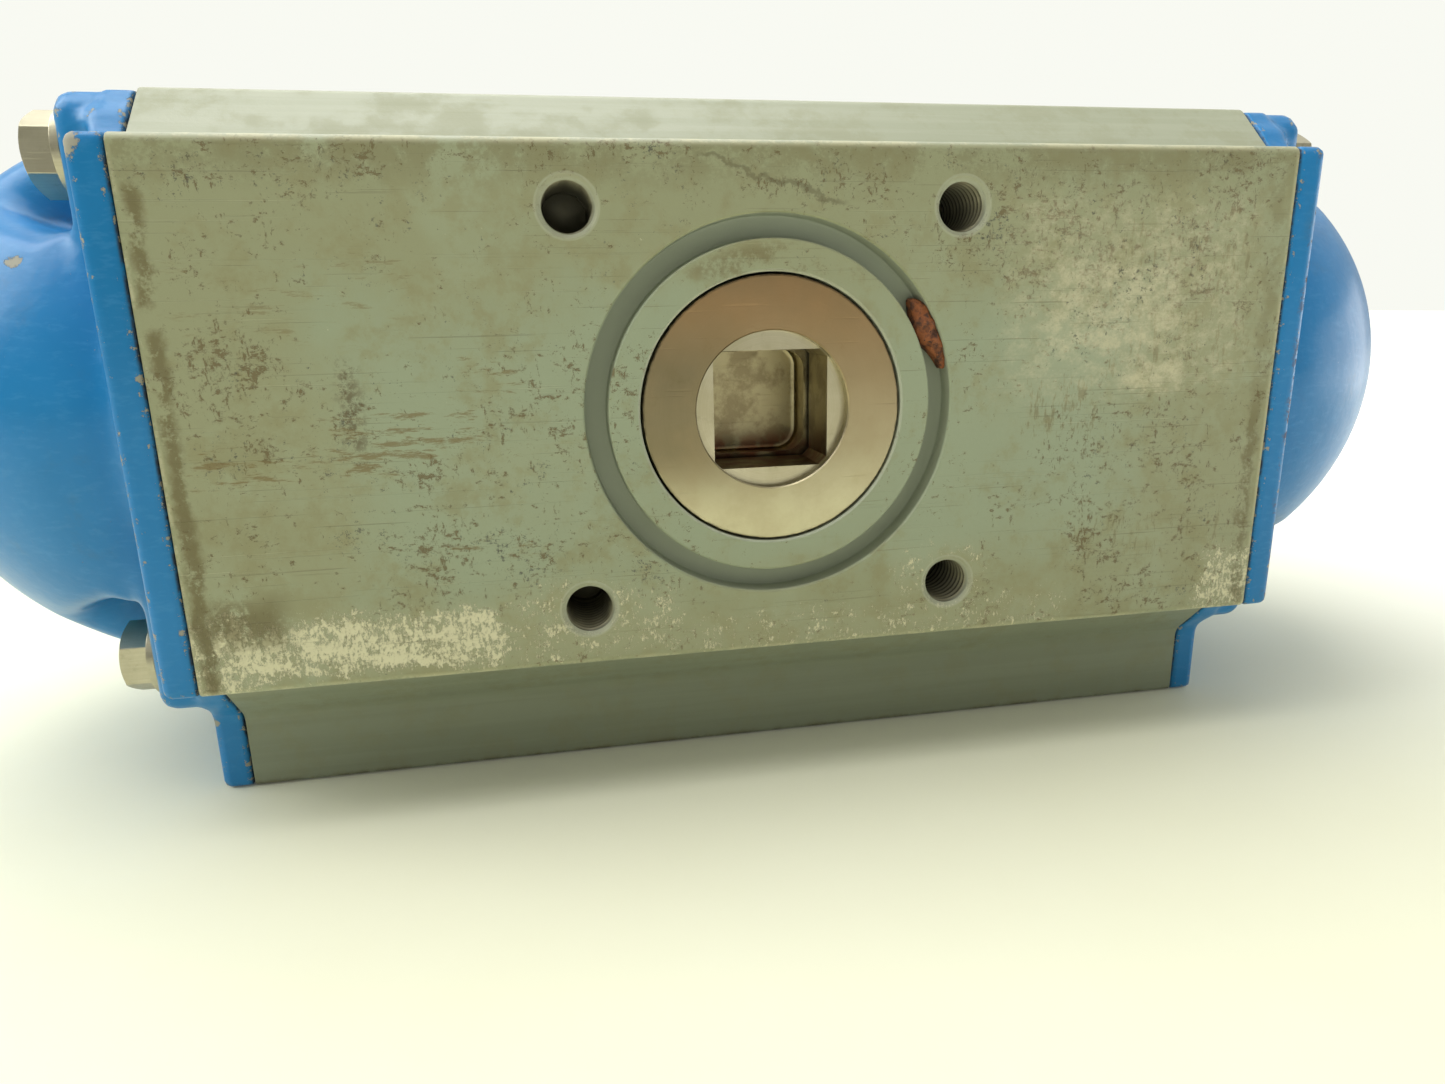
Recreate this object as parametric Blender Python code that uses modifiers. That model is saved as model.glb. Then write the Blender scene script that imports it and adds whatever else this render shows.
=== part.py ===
"""Rack-and-pinion pneumatic rotary actuator, spring return, quarter turn.

Frame: metres, +Z up. The origin is the centre of the valve face, the flat underside that
carries the air ports. X runs along the cylinder, -Y looks out of the mounting face with the
female square drive, and the shaft axis is parallel to Y, AXIS_Z above the origin.
"""
from math import atan2, cos, pi, radians, sin, sqrt, tan

import bmesh
import bpy
from mathutils import Matrix, Vector

# ---- driving dimensions -------------------------------------------------------------------
AXIS_Z = 0.0755                 # shaft and cylinder axis above the valve face
GAP = 0.0003                    # clearance between pieces that touch on the real object

BODY_HALF_LENGTH = 0.1060
HALF_DEPTH = 0.0660             # cylinder axis to the mounting face, and to the accessory face
PAD_HALF_HEIGHT = 0.0472
PAD_SIDE = 0.0080               # depth of the pad's side before the 45 degree slope
PAD_DRAFT = 0.0001              # the pad's sides open this much towards the slope
TOP_HALF_HEIGHT = 0.0570
BLOCK_HALF_DEPTH = 0.0455       # half width of the valve block below the cylinder
BORE_RADIUS = 0.0500
EDGE_ROUND = 0.0012

# mounting interface, ISO 5211 F10
BOLT_CIRCLE_RADIUS = 0.0510
MOUNT_THREAD_RADIUS = 0.00425   # M10 core
SPIGOT_RADIUS = 0.0350
SPIGOT_INNER_RADIUS = 0.0308
SPIGOT_DEPTH = 0.0040
DRIVE_SQUARE = 0.0220
DRIVE_DEPTH = 0.0250
DRIVE_MOUTH_RADIUS = 0.0146
DRIVE_MOUTH_DEPTH = 0.0020

# rack and pinion
MODULE = 0.0030
TEETH = 14
PRESSURE_ANGLE = radians(20)
ADDENDUM = 0.8 * MODULE
DEDENDUM = 1.0 * MODULE
TOOTH_THINNING = 0.00035
PITCH_RADIUS = MODULE * TEETH / 2
TOOTH_PITCH = pi * MODULE
GEAR_HALF_WIDTH = 0.0200
ARM_HALF_WIDTH = 0.0150

# pistons, closed position
PISTON_INNER_X = 0.0485
PISTON_OUTER_X = 0.0655
PISTON_RADIUS = 0.0496
ARM_TIP_X = -0.0462
RACK_TEETH = 7
RACK_TEETH_INWARD = 5           # teeth on the far side of the shaft, closed
ARM_RADIUS = 0.0492
SLIDER_RADIUS = 0.04975         # sealing and guiding faces, just under the bore

# shaft
JOURNAL_RADIUS = 0.0246
FRONT_BORE_RADIUS = 0.0250
SHAFT_RADIUS = 0.0160
STUB_RADIUS = 0.0105
CAM_RADIUS = 0.0240
CAM_FACE = 0.0140               # distance of both stop faces from the shaft axis
CAM_START = 0.0310
CAM_END = 0.0400
STOP_SCREW_X = 0.0160
STOP_SCREW_Y = 0.0355

# end caps
FLANGE_THICKNESS = 0.0052
CAP_BLOCK_END = 0.1201
CAP_BLOCK_HALF_DEPTH = 0.0475
CAP_BLOCK_TOP = 0.0561
CAP_FLANGE_TOP = 0.0564         # just below the housing's top
DOME_RADIUS = 0.0586
DOME_CENTRE_X = 0.1128
DOME_HALF_HEIGHT = 0.0559       # the dome is trimmed just inside the cap's top and foot
CAP_BOLT_Y = 0.0390
CAP_BOLT_Z = 0.0472
POCKET_Y = 0.0270
POCKET_Z = 0.0340
POCKET_START = 0.1198           # spot face for the washers, just below the block face
POCKET_END = 0.1360
CHAMBER_RADIUS = 0.0420
CHAMBER_SPHERE = 0.0520
OUTER_SEAT_X = 0.1500
INNER_SEAT_X = 0.1580

# air ports, 24 mm apart, with the 32 x 24 mm valve pattern around them
PORT_X = 0.0120
PORT_RADIUS = 0.0059
GALLERY_Y = 0.0220
GALLERY_Z = 0.0125
GALLERY_RADIUS = 0.0025

ALONG_Y = (-pi / 2, 0, 0)       # turns a local Z axis to +Y
OUTLINE_XZ = (pi / 2, 0, 0)     # stands a local XY outline in the XZ plane
OUTLINE_YZ = (pi / 2, 0, pi / 2)
BLUE = ("blue_paint", (0.055, 0.210, 0.480), 0.30, 0.0)
GREY = ("grey_coat", (0.300, 0.330, 0.270), 0.50, 0.2)
STEEL = ("turned_steel", (0.420, 0.390, 0.350), 0.35, 1.0)
STAINLESS = ("stainless", (0.520, 0.500, 0.450), 0.32, 1.0)
CAST = ("cast_aluminium", (0.550, 0.560, 0.570), 0.45, 0.9)
RUBBER = ("black_rubber", (0.020, 0.020, 0.020), 0.70, 0.0)
POLYMER = ("bearing_polymer", (0.640, 0.600, 0.480), 0.50, 0.0)
SPRING = ("spring_steel", (0.160, 0.160, 0.180), 0.40, 0.9)
PLASTIC = ("black_plastic", (0.030, 0.030, 0.035), 0.45, 0.0)


# ---- scene and helpers --------------------------------------------------------------------
for old in list(bpy.data.objects):
    bpy.data.objects.remove(old, do_unlink=True)

PARTS = bpy.data.collections.new("rotary_pneumatic_actuator")
HELPERS = bpy.data.collections.new("cutters")
bpy.context.scene.collection.children.link(PARTS)
bpy.context.scene.collection.children.link(HELPERS)


def material(spec):
    """Return the Principled material for a (name, colour, roughness, metallic) tuple."""
    name, colour, roughness, metallic = spec
    found = bpy.data.materials.get(name)
    if found:
        return found
    made = bpy.data.materials.new(name)
    made.use_nodes = True
    shader = made.node_tree.nodes["Principled BSDF"]
    shader.inputs["Base Color"].default_value = (*colour, 1.0)
    shader.inputs["Roughness"].default_value = roughness
    shader.inputs["Metallic"].default_value = metallic
    return made


def file_in(obj, collection):
    """Keep obj in the given collection only."""
    for home in list(obj.users_collection):
        home.objects.unlink(obj)
    collection.objects.link(obj)


def helper(obj):
    """File obj as a cutter or union tool."""
    file_in(obj, HELPERS)
    obj.hide_render = True
    obj.display_type = "WIRE"
    return obj


def finish(obj, spec, parent=None):
    """File obj as a part: material, smooth shading and its place under an empty."""
    file_in(obj, PARTS)
    obj.data.materials.clear()
    obj.data.materials.append(material(spec))
    obj.data.shade_smooth()
    obj.data.set_sharp_from_angle(angle=radians(35))
    if parent:
        bpy.context.view_layer.update()
        obj.parent = parent
        obj.matrix_parent_inverse = parent.matrix_world.inverted()
    return obj


def mesh_object(name, mesh):
    obj = bpy.data.objects.new(name, mesh)
    PARTS.objects.link(obj)
    return obj


def box(name, centre, size):
    """An axis-aligned box; centre is relative to the shaft axis."""
    mesh = bpy.data.meshes.new(name)
    shape = bmesh.new()
    bmesh.ops.create_cube(shape, size=1.0)
    bmesh.ops.scale(shape, vec=size, verts=shape.verts)
    shape.to_mesh(mesh)
    shape.free()
    obj = mesh_object(name, mesh)
    obj.location = Vector(centre) + Vector((0, 0, AXIS_Z))
    return obj


def rod(name, start, end, radius, segments=24, end_radius=None):
    """A cylinder or cone between two points given relative to the shaft axis."""
    start = Vector(start)
    along = Vector(end) - start
    mesh = bpy.data.meshes.new(name)
    shape = bmesh.new()
    bmesh.ops.create_cone(
        shape, cap_ends=True, segments=segments, radius1=radius,
        radius2=radius if end_radius is None else end_radius, depth=along.length)
    shape.to_mesh(mesh)
    shape.free()
    obj = mesh_object(name, mesh)
    obj.location = start + along / 2 + Vector((0, 0, AXIS_Z))
    obj.rotation_euler = along.to_track_quat("Z", "Y").to_euler()
    return obj


def turned(name, profile, rotation, segments=36, closed=False):
    """A Screw-turned shape about the local Z axis; profile is (radius, height) top to bottom."""
    mesh = bpy.data.meshes.new(name)
    count = len(profile)
    edges = [(i, i + 1) for i in range(count - 1)]
    if closed:
        edges.append((count - 1, 0))
    mesh.from_pydata([(r, 0, h) for r, h in profile], edges, [])
    obj = mesh_object(name, mesh)
    obj.location = (0, 0, AXIS_Z)
    obj.rotation_euler = rotation
    screw = obj.modifiers.new("turn", "SCREW")
    screw.axis = "Z"
    screw.steps = segments
    screw.render_steps = segments
    screw.use_merge_vertices = True
    screw.merge_threshold = 0.00001
    return obj


def ring(name, inner, outer, start, end, rotation, segments=32):
    """A plain ring of rectangular section about the local Z axis."""
    profile = [(outer, end), (outer, start), (inner, start), (inner, end)]
    return turned(name, profile, rotation, segments, closed=True)


def outline(name, points, depth, centre, rotation):
    """A flat outline given thickness, as a welded mesh; centre is relative to the axis."""
    curve = bpy.data.curves.new(name, "CURVE")
    curve.dimensions = "2D"
    curve.fill_mode = "BOTH"
    curve.extrude = depth / 2
    spline = curve.splines.new("POLY")
    spline.points.add(len(points) - 1)
    for point, (u, v) in zip(spline.points, points):
        point.co = (u, v, 0, 1)
    spline.use_cyclic_u = True
    drawn = bpy.data.objects.new(name, curve)
    PARTS.objects.link(drawn)
    drawn.location = Vector(centre) + Vector((0, 0, AXIS_Z))
    drawn.rotation_euler = rotation
    bpy.context.view_layer.update()
    evaluated = drawn.evaluated_get(bpy.context.evaluated_depsgraph_get())
    mesh = bpy.data.meshes.new_from_object(evaluated)
    placed = drawn.matrix_world.copy()
    bpy.data.objects.remove(drawn, do_unlink=True)
    weld(mesh)
    obj = mesh_object(name, mesh)
    obj.matrix_world = placed
    return obj


def weld(mesh):
    shape = bmesh.new()
    shape.from_mesh(mesh)
    bmesh.ops.remove_doubles(shape, verts=shape.verts, dist=0.000001)
    bmesh.ops.recalc_face_normals(shape, faces=shape.faces)
    shape.to_mesh(mesh)
    shape.free()


def combine(obj, operation, *tools):
    """Add one exact Boolean per tool and file the tools as helpers."""
    for tool in tools:
        step = obj.modifiers.new(tool.name, "BOOLEAN")
        step.operation = operation
        step.solver = "EXACT"
        step.object = helper(tool)
    return obj


def cut(obj, *tools):
    return combine(obj, "DIFFERENCE", *tools)


def join(obj, *tools):
    return combine(obj, "UNION", *tools)


def bevel_edges(obj, width, segments, chosen):
    """Bevel the edges whose two end points pass the chosen test."""
    mesh = obj.data
    weights = mesh.attributes.new("bevel_weight_edge", "FLOAT", "EDGE")
    for edge in mesh.edges:
        first, last = (mesh.vertices[i].co for i in edge.vertices)
        weights.data[edge.index].value = 1.0 if chosen(first, last) else 0.0
    step = obj.modifiers.new("edges", "BEVEL")
    step.width = width
    step.segments = segments
    step.limit_method = "WEIGHT"
    return obj


def runs_along_x(first, last):
    return abs(first.x - last.x) > 0.001


def arc(radius, start, end, steps, centre=(0, 0)):
    """Points on an arc; angles in degrees from the first outline axis."""
    points = []
    for i in range(steps + 1):
        a = radians(start + (end - start) * i / steps)
        points.append((centre[0] + radius * cos(a), centre[1] + radius * sin(a)))
    return points


def rounded(corners, radius, steps=3):
    """The outline with each corner replaced by a tangent arc."""
    points = []
    for i, corner in enumerate(corners):
        here = Vector(corner)
        before = (Vector(corners[i - 1]) - here).normalized()
        after = (Vector(corners[(i + 1) % len(corners)]) - here).normalized()
        half = before.angle(after) / 2
        centre = here + (before + after).normalized() * radius / sin(half)
        first = here + before * radius / tan(half) - centre
        last = here + after * radius / tan(half) - centre
        for k in range(steps + 1):
            way = first.lerp(last, k / steps).normalized() * radius
            points.append(tuple(centre + way))
    return points


def empty(name, location):
    obj = bpy.data.objects.new(name, None)
    PARTS.objects.link(obj)
    obj.empty_display_size = 0.02
    obj.location = location
    return obj


# ---- housing ------------------------------------------------------------------------------
def body_section(top=TOP_HALF_HEIGHT):
    """Cross-section in the YZ plane, relative to the cylinder axis."""
    slope = HALF_DEPTH - PAD_SIDE
    slope_z = PAD_HALF_HEIGHT + PAD_DRAFT
    top_y = slope - (top - slope_z)
    block_z = -(slope_z + slope - BLOCK_HALF_DEPTH)
    right = [
        (BLOCK_HALF_DEPTH, -AXIS_Z), (BLOCK_HALF_DEPTH, block_z), (slope, -slope_z),
        (HALF_DEPTH, -PAD_HALF_HEIGHT), (HALF_DEPTH, PAD_HALF_HEIGHT), (slope, slope_z),
        (top_y, top)]
    left = [(-y, z) for y, z in reversed(right)]
    return right + left


def mounting_face_cutters():
    """Tapped holes, centring groove and front bearing bore."""
    tools = []
    offset = BOLT_CIRCLE_RADIUS / sqrt(2)
    face = -HALF_DEPTH
    for i, (sx, sz) in enumerate(((-1, 1), (1, 1), (-1, -1), (1, -1))):
        x, z = sx * offset, sz * offset
        tools.append(rod(f"mount_hole_{i}", (x, face - 0.001, z), (x, face + 0.020, z),
                         MOUNT_THREAD_RADIUS, 16))
        tools.append(rod(f"mount_chamfer_{i}", (x, face - 0.0005, z), (x, face + 0.0013, z),
                         0.0059, 16, end_radius=MOUNT_THREAD_RADIUS - 0.0001))
    tools.append(ring("centring_groove", SPIGOT_INNER_RADIUS, SPIGOT_RADIUS, face - 0.001,
                      face + SPIGOT_DEPTH, ALONG_Y, 32))
    tools.append(rod("front_bore", (0, face - 0.001, 0), (0, -0.030, 0), FRONT_BORE_RADIUS, 32))
    tools.append(rod("front_bush_bore", (0, -0.058, 0), (0, -0.030, 0), 0.0278, 32))
    return tools


def accessory_face_cutters():
    """Rear shaft bore and the 80 x 30 mm accessory pattern."""
    face = HALF_DEPTH
    tools = [
        rod("rear_bore", (0, 0.030, 0), (0, face + 0.001, 0), SHAFT_RADIUS + 0.0004, 24),
        rod("rear_bush_bore", (0, 0.030, 0), (0, 0.058, 0), 0.0193, 24)]
    for i, (sx, sz) in enumerate(((-1, 1), (1, 1), (-1, -1), (1, -1))):
        x, z = sx * 0.040, sz * 0.015
        tools.append(rod(f"accessory_hole_{i}", (x, face - 0.009, z), (x, face + 0.001, z),
                         0.0021, 8))
    return tools


def air_way_cutters():
    """Two ports, the valve screws, the centre passage and the galleries to both ends."""
    face = -AXIS_Z
    gallery = face + GALLERY_Z
    tools = []
    for i, x in enumerate((-PORT_X, PORT_X)):
        tools.append(rod(f"port_{i}", (x, 0, face - 0.001), (x, 0, face + 0.012), PORT_RADIUS, 16))
    tools.append(rod("centre_passage", (-PORT_X, 0, face + 0.010), (-PORT_X, 0, -0.045), 0.003, 8))
    for i, (sx, sy) in enumerate(((-1, 1), (1, 1), (-1, -1), (1, -1))):
        x, y = sx * 0.016, sy * 0.012
        tools.append(rod(f"valve_hole_{i}", (x, y, face - 0.001), (x, y, face + 0.008), 0.0021, 8))
    tools.append(rod("cross_gallery", (PORT_X, 0, gallery), (PORT_X, 0.050, gallery),
                     GALLERY_RADIUS, 8))
    tools.append(rod("plug_seat", (PORT_X, 0.0395, gallery), (PORT_X, 0.050, gallery), 0.0035, 16))
    tools.append(rod("long_gallery", (-0.110, GALLERY_Y, gallery), (0.110, GALLERY_Y, gallery),
                     GALLERY_RADIUS, 8))
    return tools


def housing():
    obj = outline("housing", rounded(body_section(), EDGE_ROUND, 1), 2 * BODY_HALF_LENGTH,
                  (0, 0, 0), OUTLINE_YZ)
    cut(obj, rod("cylinder_bore", (-0.110, 0, 0), (0.110, 0, 0), BORE_RADIUS, 40))
    cut(obj, *mounting_face_cutters())
    cut(obj, *accessory_face_cutters())
    cut(obj, *air_way_cutters())
    for side in (-1, 1):
        x = side * STOP_SCREW_X
        cut(obj, rod(f"stop_hole_{side}", (x, STOP_SCREW_Y, 0.030), (x, STOP_SCREW_Y, 0.060),
                     0.0043, 12))
        for i, (y, z) in enumerate(cap_bolt_places()):
            cut(obj, rod(f"cap_thread_{side}_{i}", (side * 0.084, y, z), (side * 0.108, y, z),
                         0.0043, 10))
    return finish(obj, GREY)


# ---- end caps -----------------------------------------------------------------------------
def cap_bolt_places():
    return [(sy * CAP_BOLT_Y, sz * CAP_BOLT_Z) for sy in (-1, 1) for sz in (1, -1)]


def along_x(side):
    """Rotation that turns a local Z axis to +X or -X."""
    return (0, side * pi / 2, 0)


def dome(name, side):
    """Solid half sphere on the cap, run a little into the cap block."""
    profile = []
    steps = 6
    for i in range(steps + 1):
        a = pi / 2 - i * (pi / 2) / steps
        profile.append((DOME_RADIUS * cos(a), DOME_CENTRE_X + DOME_RADIUS * sin(a)))
    profile[0] = (0, DOME_CENTRE_X + DOME_RADIUS)
    base = BODY_HALF_LENGTH + 0.003
    profile += [(DOME_RADIUS, base), (0, base)]
    return turned(name, profile, along_x(side), 28)


def chamber(name, side):
    """Hollow of the cap: cylinder mouth, spring chamber and two flat spring seats."""
    mouth = BODY_HALF_LENGTH - 0.002
    seat_edge = sqrt(CHAMBER_SPHERE ** 2 - (OUTER_SEAT_X - DOME_CENTRE_X) ** 2)
    shoulder = DOME_CENTRE_X + sqrt(CHAMBER_SPHERE ** 2 - CHAMBER_RADIUS ** 2)
    profile = [
        (0, INNER_SEAT_X), (0.024, INNER_SEAT_X), (0.026, OUTER_SEAT_X), (seat_edge, OUTER_SEAT_X),
        (CHAMBER_RADIUS, shoulder), (CHAMBER_RADIUS, 0.1155), (BORE_RADIUS, 0.1125),
        (BORE_RADIUS, mouth), (0, mouth)]
    return turned(name, profile, along_x(side), 28)


def bolt_pocket(name, side, y, z):
    """Wrench clearance around one cap bolt."""
    far = 0.070
    sy = 1 if y > 0 else -1
    sz = 1 if z > 0 else -1
    centre = (side * (POCKET_START + POCKET_END) / 2, sy * (POCKET_Y + far) / 2,
              sz * (POCKET_Z + far) / 2)
    size = (POCKET_END - POCKET_START, far - POCKET_Y, far - POCKET_Z)
    obj = box(name, centre, size)
    return bevel_edges(obj, 0.006, 2, runs_along_x)


def cap_air_way(side):
    """Cored way from the long gallery up into the end chamber."""
    z = -AXIS_Z + GALLERY_Z
    start = side * (BODY_HALF_LENGTH - 0.001)
    return (
        rod(f"cap_port_{side}", (start, GALLERY_Y, z), (side * 0.1113, GALLERY_Y, z),
            GALLERY_RADIUS, 8),
        rod(f"cap_seal_seat_{side}", (start, GALLERY_Y, z), (side * 0.1078, GALLERY_Y, z),
            0.0045, 16),
        rod(f"cap_riser_{side}", (side * 0.1101, GALLERY_Y, z), (side * 0.1101, GALLERY_Y, -0.040),
            0.0012, 8))


def end_cap(name, side):
    start = BODY_HALF_LENGTH + GAP
    flange_x = side * (start + FLANGE_THICKNESS / 2)
    obj = outline(name, rounded(body_section(CAP_FLANGE_TOP), EDGE_ROUND, 1), FLANGE_THICKNESS,
                  (flange_x, 0, 0), OUTLINE_YZ)
    depth = CAP_BLOCK_END - start - 0.002
    block = box(f"cap_block_{side}", (side * (CAP_BLOCK_END - depth / 2), 0, 0),
                (depth, 2 * CAP_BLOCK_HALF_DEPTH, 2 * CAP_BLOCK_TOP))
    bevel_edges(block, 0.004, 2, lambda a, b: min(a.x * side, b.x * side) > 0)
    crown = dome(f"dome_{side}", side)
    trim = box(f"dome_trim_{side}", (side * 0.140, 0, 0), (0.100, 0.200, 2 * DOME_HALF_HEIGHT))
    combine(crown, "INTERSECT", trim)
    join(obj, block, crown)
    cut(obj, chamber(f"chamber_{side}", side))
    for i, (y, z) in enumerate(cap_bolt_places()):
        cut(obj, bolt_pocket(f"pocket_{side}_{i}", side, y, z))
        cut(obj, rod(f"cap_bolt_hole_{side}_{i}", (side * 0.104, y, z), (side * 0.123, y, z),
                     0.0045, 10))
    groove = ring(f"seal_groove_{side}", 0.0518, 0.0544, BODY_HALF_LENGTH - 0.001, 0.1082,
                  along_x(side), 28)
    cut(obj, groove, *cap_air_way(side))
    return finish(obj, BLUE)


def cap_fasteners(side, word):
    """Four M8 hex bolts with plain washers."""
    washer_x = POCKET_START + GAP
    head_x = washer_x + 0.0016
    head_end = head_x + 0.0053
    for i, (y, z) in enumerate(cap_bolt_places()):
        bolt = rod(f"{word}_cap_bolt_{i + 1}", (side * head_x, y, z), (side * head_end, y, z),
                   0.0130 / sqrt(3), 6)
        shank = rod(f"shank_{word}_{i}", (side * 0.0880, y, z), (side * (head_x + 0.001), y, z),
                    0.0040, 10)
        join(bolt, shank)
        finish(bolt, STAINLESS)
        washer = ring(f"{word}_cap_washer_{i + 1}", 0.0043, 0.0080, washer_x, washer_x + 0.0014,
                      along_x(side), 12)
        washer.location = (0, y, AXIS_Z + z)
        finish(washer, STAINLESS)


def cap_seals(side, word):
    start = BODY_HALF_LENGTH + 0.00015
    finish(ring(f"{word}_cap_seal", 0.0521, 0.0541, start, start + 0.0018, along_x(side), 28),
           RUBBER)
    small = ring(f"{word}_gallery_seal", 0.0029, 0.0042, start, start + 0.0013, along_x(side), 16)
    small.location = (0, GALLERY_Y, GALLERY_Z)
    finish(small, RUBBER)


# ---- pinion shaft -------------------------------------------------------------------------
def gear_outline():
    """Involute pinion with one tooth centred on +Z."""
    base = PITCH_RADIUS * cos(PRESSURE_ANGLE)
    tip = PITCH_RADIUS + ADDENDUM
    root = PITCH_RADIUS - DEDENDUM
    involute = tan(PRESSURE_ANGLE) - PRESSURE_ANGLE
    half_tooth = (TOOTH_PITCH / 2 - TOOTH_THINNING) / (2 * PITCH_RADIUS)
    flank = []
    steps = 2
    for i in range(steps + 1):
        r = base + (tip - base) * i / steps
        roll = sqrt(max((r / base) ** 2 - 1, 0))
        flank.append((r, half_tooth + involute - (roll - atan2(roll, 1))))
    points = []
    for tooth in range(TEETH):
        middle = pi / 2 - tooth * 2 * pi / TEETH
        side = [(root, flank[0][1] + 0.01)] + flank
        for r, a in side:
            points.append((r * cos(middle + a), r * sin(middle + a)))
        for r, a in reversed(side):
            points.append((r * cos(middle - a), r * sin(middle - a)))
    return points


def cam_outline():
    """Stop cam: a sector with one face for each stop screw, a quarter turn apart."""
    outer = sqrt(CAM_RADIUS ** 2 - CAM_FACE ** 2)
    inner = sqrt(SHAFT_RADIUS ** 2 - CAM_FACE ** 2)
    first = math_degrees(atan2(CAM_FACE, outer))
    last = math_degrees(atan2(-outer, -CAM_FACE))
    points = arc(CAM_RADIUS, first, last, 10)
    points += arc(SHAFT_RADIUS, math_degrees(atan2(-inner, -CAM_FACE)),
                  math_degrees(atan2(CAM_FACE, inner)) - 360, 10)
    return points


def math_degrees(angle):
    return angle * 180 / pi


def shaft_profile():
    """Radius and distance along Y, from the accessory end to the drive end."""
    return [
        (0, 0.0880), (STUB_RADIUS, 0.0880), (STUB_RADIUS, 0.0730), (SHAFT_RADIUS, 0.0730),
        (SHAFT_RADIUS, 0.0696), (0.0144, 0.0696), (0.0144, 0.0680), (SHAFT_RADIUS, 0.0680),
        (SHAFT_RADIUS, 0.0626), (0.0138, 0.0626), (0.0138, 0.0594), (SHAFT_RADIUS, 0.0594),
        (SHAFT_RADIUS, -0.0290), (JOURNAL_RADIUS, -0.0290), (JOURNAL_RADIUS, -0.0594),
        (0.0224, -0.0594), (0.0224, -0.0626), (JOURNAL_RADIUS, -0.0626),
        (JOURNAL_RADIUS, -0.0652), (JOURNAL_RADIUS - 0.0005, -0.0657), (0, -0.0657)]


def drive_square():
    """Square socket whose corners are limited by the round mouth."""
    half = DRIVE_SQUARE / 2
    turn = math_degrees(atan2(sqrt(DRIVE_MOUTH_RADIUS ** 2 - half ** 2), half))
    points = []
    for quarter in range(4):
        points += arc(DRIVE_MOUTH_RADIUS - 0.00005, quarter * 90 + turn,
                      quarter * 90 + 90 - turn, 2)
    return points


def pinion_shaft(parent):
    obj = turned("pinion_shaft", shaft_profile(), ALONG_Y, 28)
    join(obj, outline("pinion_teeth", gear_outline(), 2 * GEAR_HALF_WIDTH, (0, 0, 0), OUTLINE_XZ))
    join(obj, outline("stop_cam", cam_outline(), CAM_END - CAM_START,
                      (0, (CAM_START + CAM_END) / 2, 0), OUTLINE_XZ))
    face = -0.0657
    cut(obj, outline("drive_socket", drive_square(), DRIVE_DEPTH + 0.002,
                     (0, face + DRIVE_DEPTH / 2 - 0.001, 0), OUTLINE_XZ))
    cut(obj, rod("drive_mouth", (0, face - 0.001, 0), (0, face + DRIVE_MOUTH_DEPTH, 0),
                 DRIVE_MOUTH_RADIUS, 40))
    cut(obj, rod("shaft_thread", (0, 0.0740, 0), (0, 0.0890, 0), 0.0030, 12))
    for sign in (-1, 1):
        cut(obj, box(f"stub_flat_{sign}", (0, 0.0810, sign * 0.0135), (0.030, 0.0158, 0.0100)))
    return finish(obj, STEEL, parent)


def shaft_rings(parent):
    """Seals, thrust washer and retaining ring that turn with the shaft, and both bushes."""
    finish(ring("front_shaft_seal", 0.0227, 0.0248, -0.0623, -0.0597, ALONG_Y, 28), RUBBER, parent)
    finish(ring("rear_shaft_seal", 0.0141, 0.0162, 0.0597, 0.0623, ALONG_Y, 28), RUBBER, parent)
    finish(ring("thrust_washer", SHAFT_RADIUS + GAP, 0.0220, HALF_DEPTH + GAP, 0.0677, ALONG_Y, 28),
           POLYMER, parent)
    points = arc(0.0190, -75, 255, 18) + arc(0.0147, 255, -75, 18)
    finish(outline("retaining_ring", points, 0.0011, (0, 0.0688, 0), OUTLINE_XZ), SPRING, parent)
    finish(ring("front_bush", JOURNAL_RADIUS + GAP, 0.0275, -0.0577, -0.0503, ALONG_Y, 28),
           POLYMER)
    finish(ring("rear_bush", SHAFT_RADIUS + GAP, 0.0190, 0.0503, 0.0577, ALONG_Y, 28), POLYMER)


def position_indicator(parent):
    """Disc with a raised pointer bar on the shaft stub, held by one screw."""
    profile = [
        (0.0033, 0.0915), (0.0140, 0.0915), (0.0150, 0.0790), (0.0200, 0.0780), (0.0200, 0.0733),
        (STUB_RADIUS + GAP, 0.0733), (STUB_RADIUS + GAP, 0.0883), (0.0033, 0.0883)]
    disc = turned("position_indicator", profile, ALONG_Y, 24, closed=True)
    bar = box("pointer_bar", (0, 0.0918, 0.0098), (0.0050, 0.0016, 0.0074))
    finish(join(disc, bar), PLASTIC, parent)
    screw = rod("indicator_screw", (0, 0.0918, 0), (0, 0.0950, 0), 0.0052, 16)
    join(screw, rod("indicator_shank", (0, 0.0770, 0), (0, 0.0925, 0), 0.0027, 12))
    cut(screw, rod("indicator_hex", (0, 0.0930, 0), (0, 0.0960, 0), 0.0023, 6))
    finish(screw, STAINLESS, parent)


# ---- pistons ------------------------------------------------------------------------------
def piston_head_profile():
    """Piston head with seal groove, guide groove and a spring recess on its outer face."""
    outer, inner = PISTON_OUTER_X, PISTON_INNER_X
    return [
        (0, outer - 0.005), (0.0400, outer - 0.005), (0.0410, outer), (PISTON_RADIUS, outer),
        (PISTON_RADIUS, 0.0640), (0.0458, 0.0640), (0.0458, 0.0600), (PISTON_RADIUS, 0.0600),
        (PISTON_RADIUS, 0.0573), (0.0476, 0.0573), (0.0476, 0.0513), (PISTON_RADIUS, 0.0513),
        (PISTON_RADIUS, inner), (0, inner)]


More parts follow.
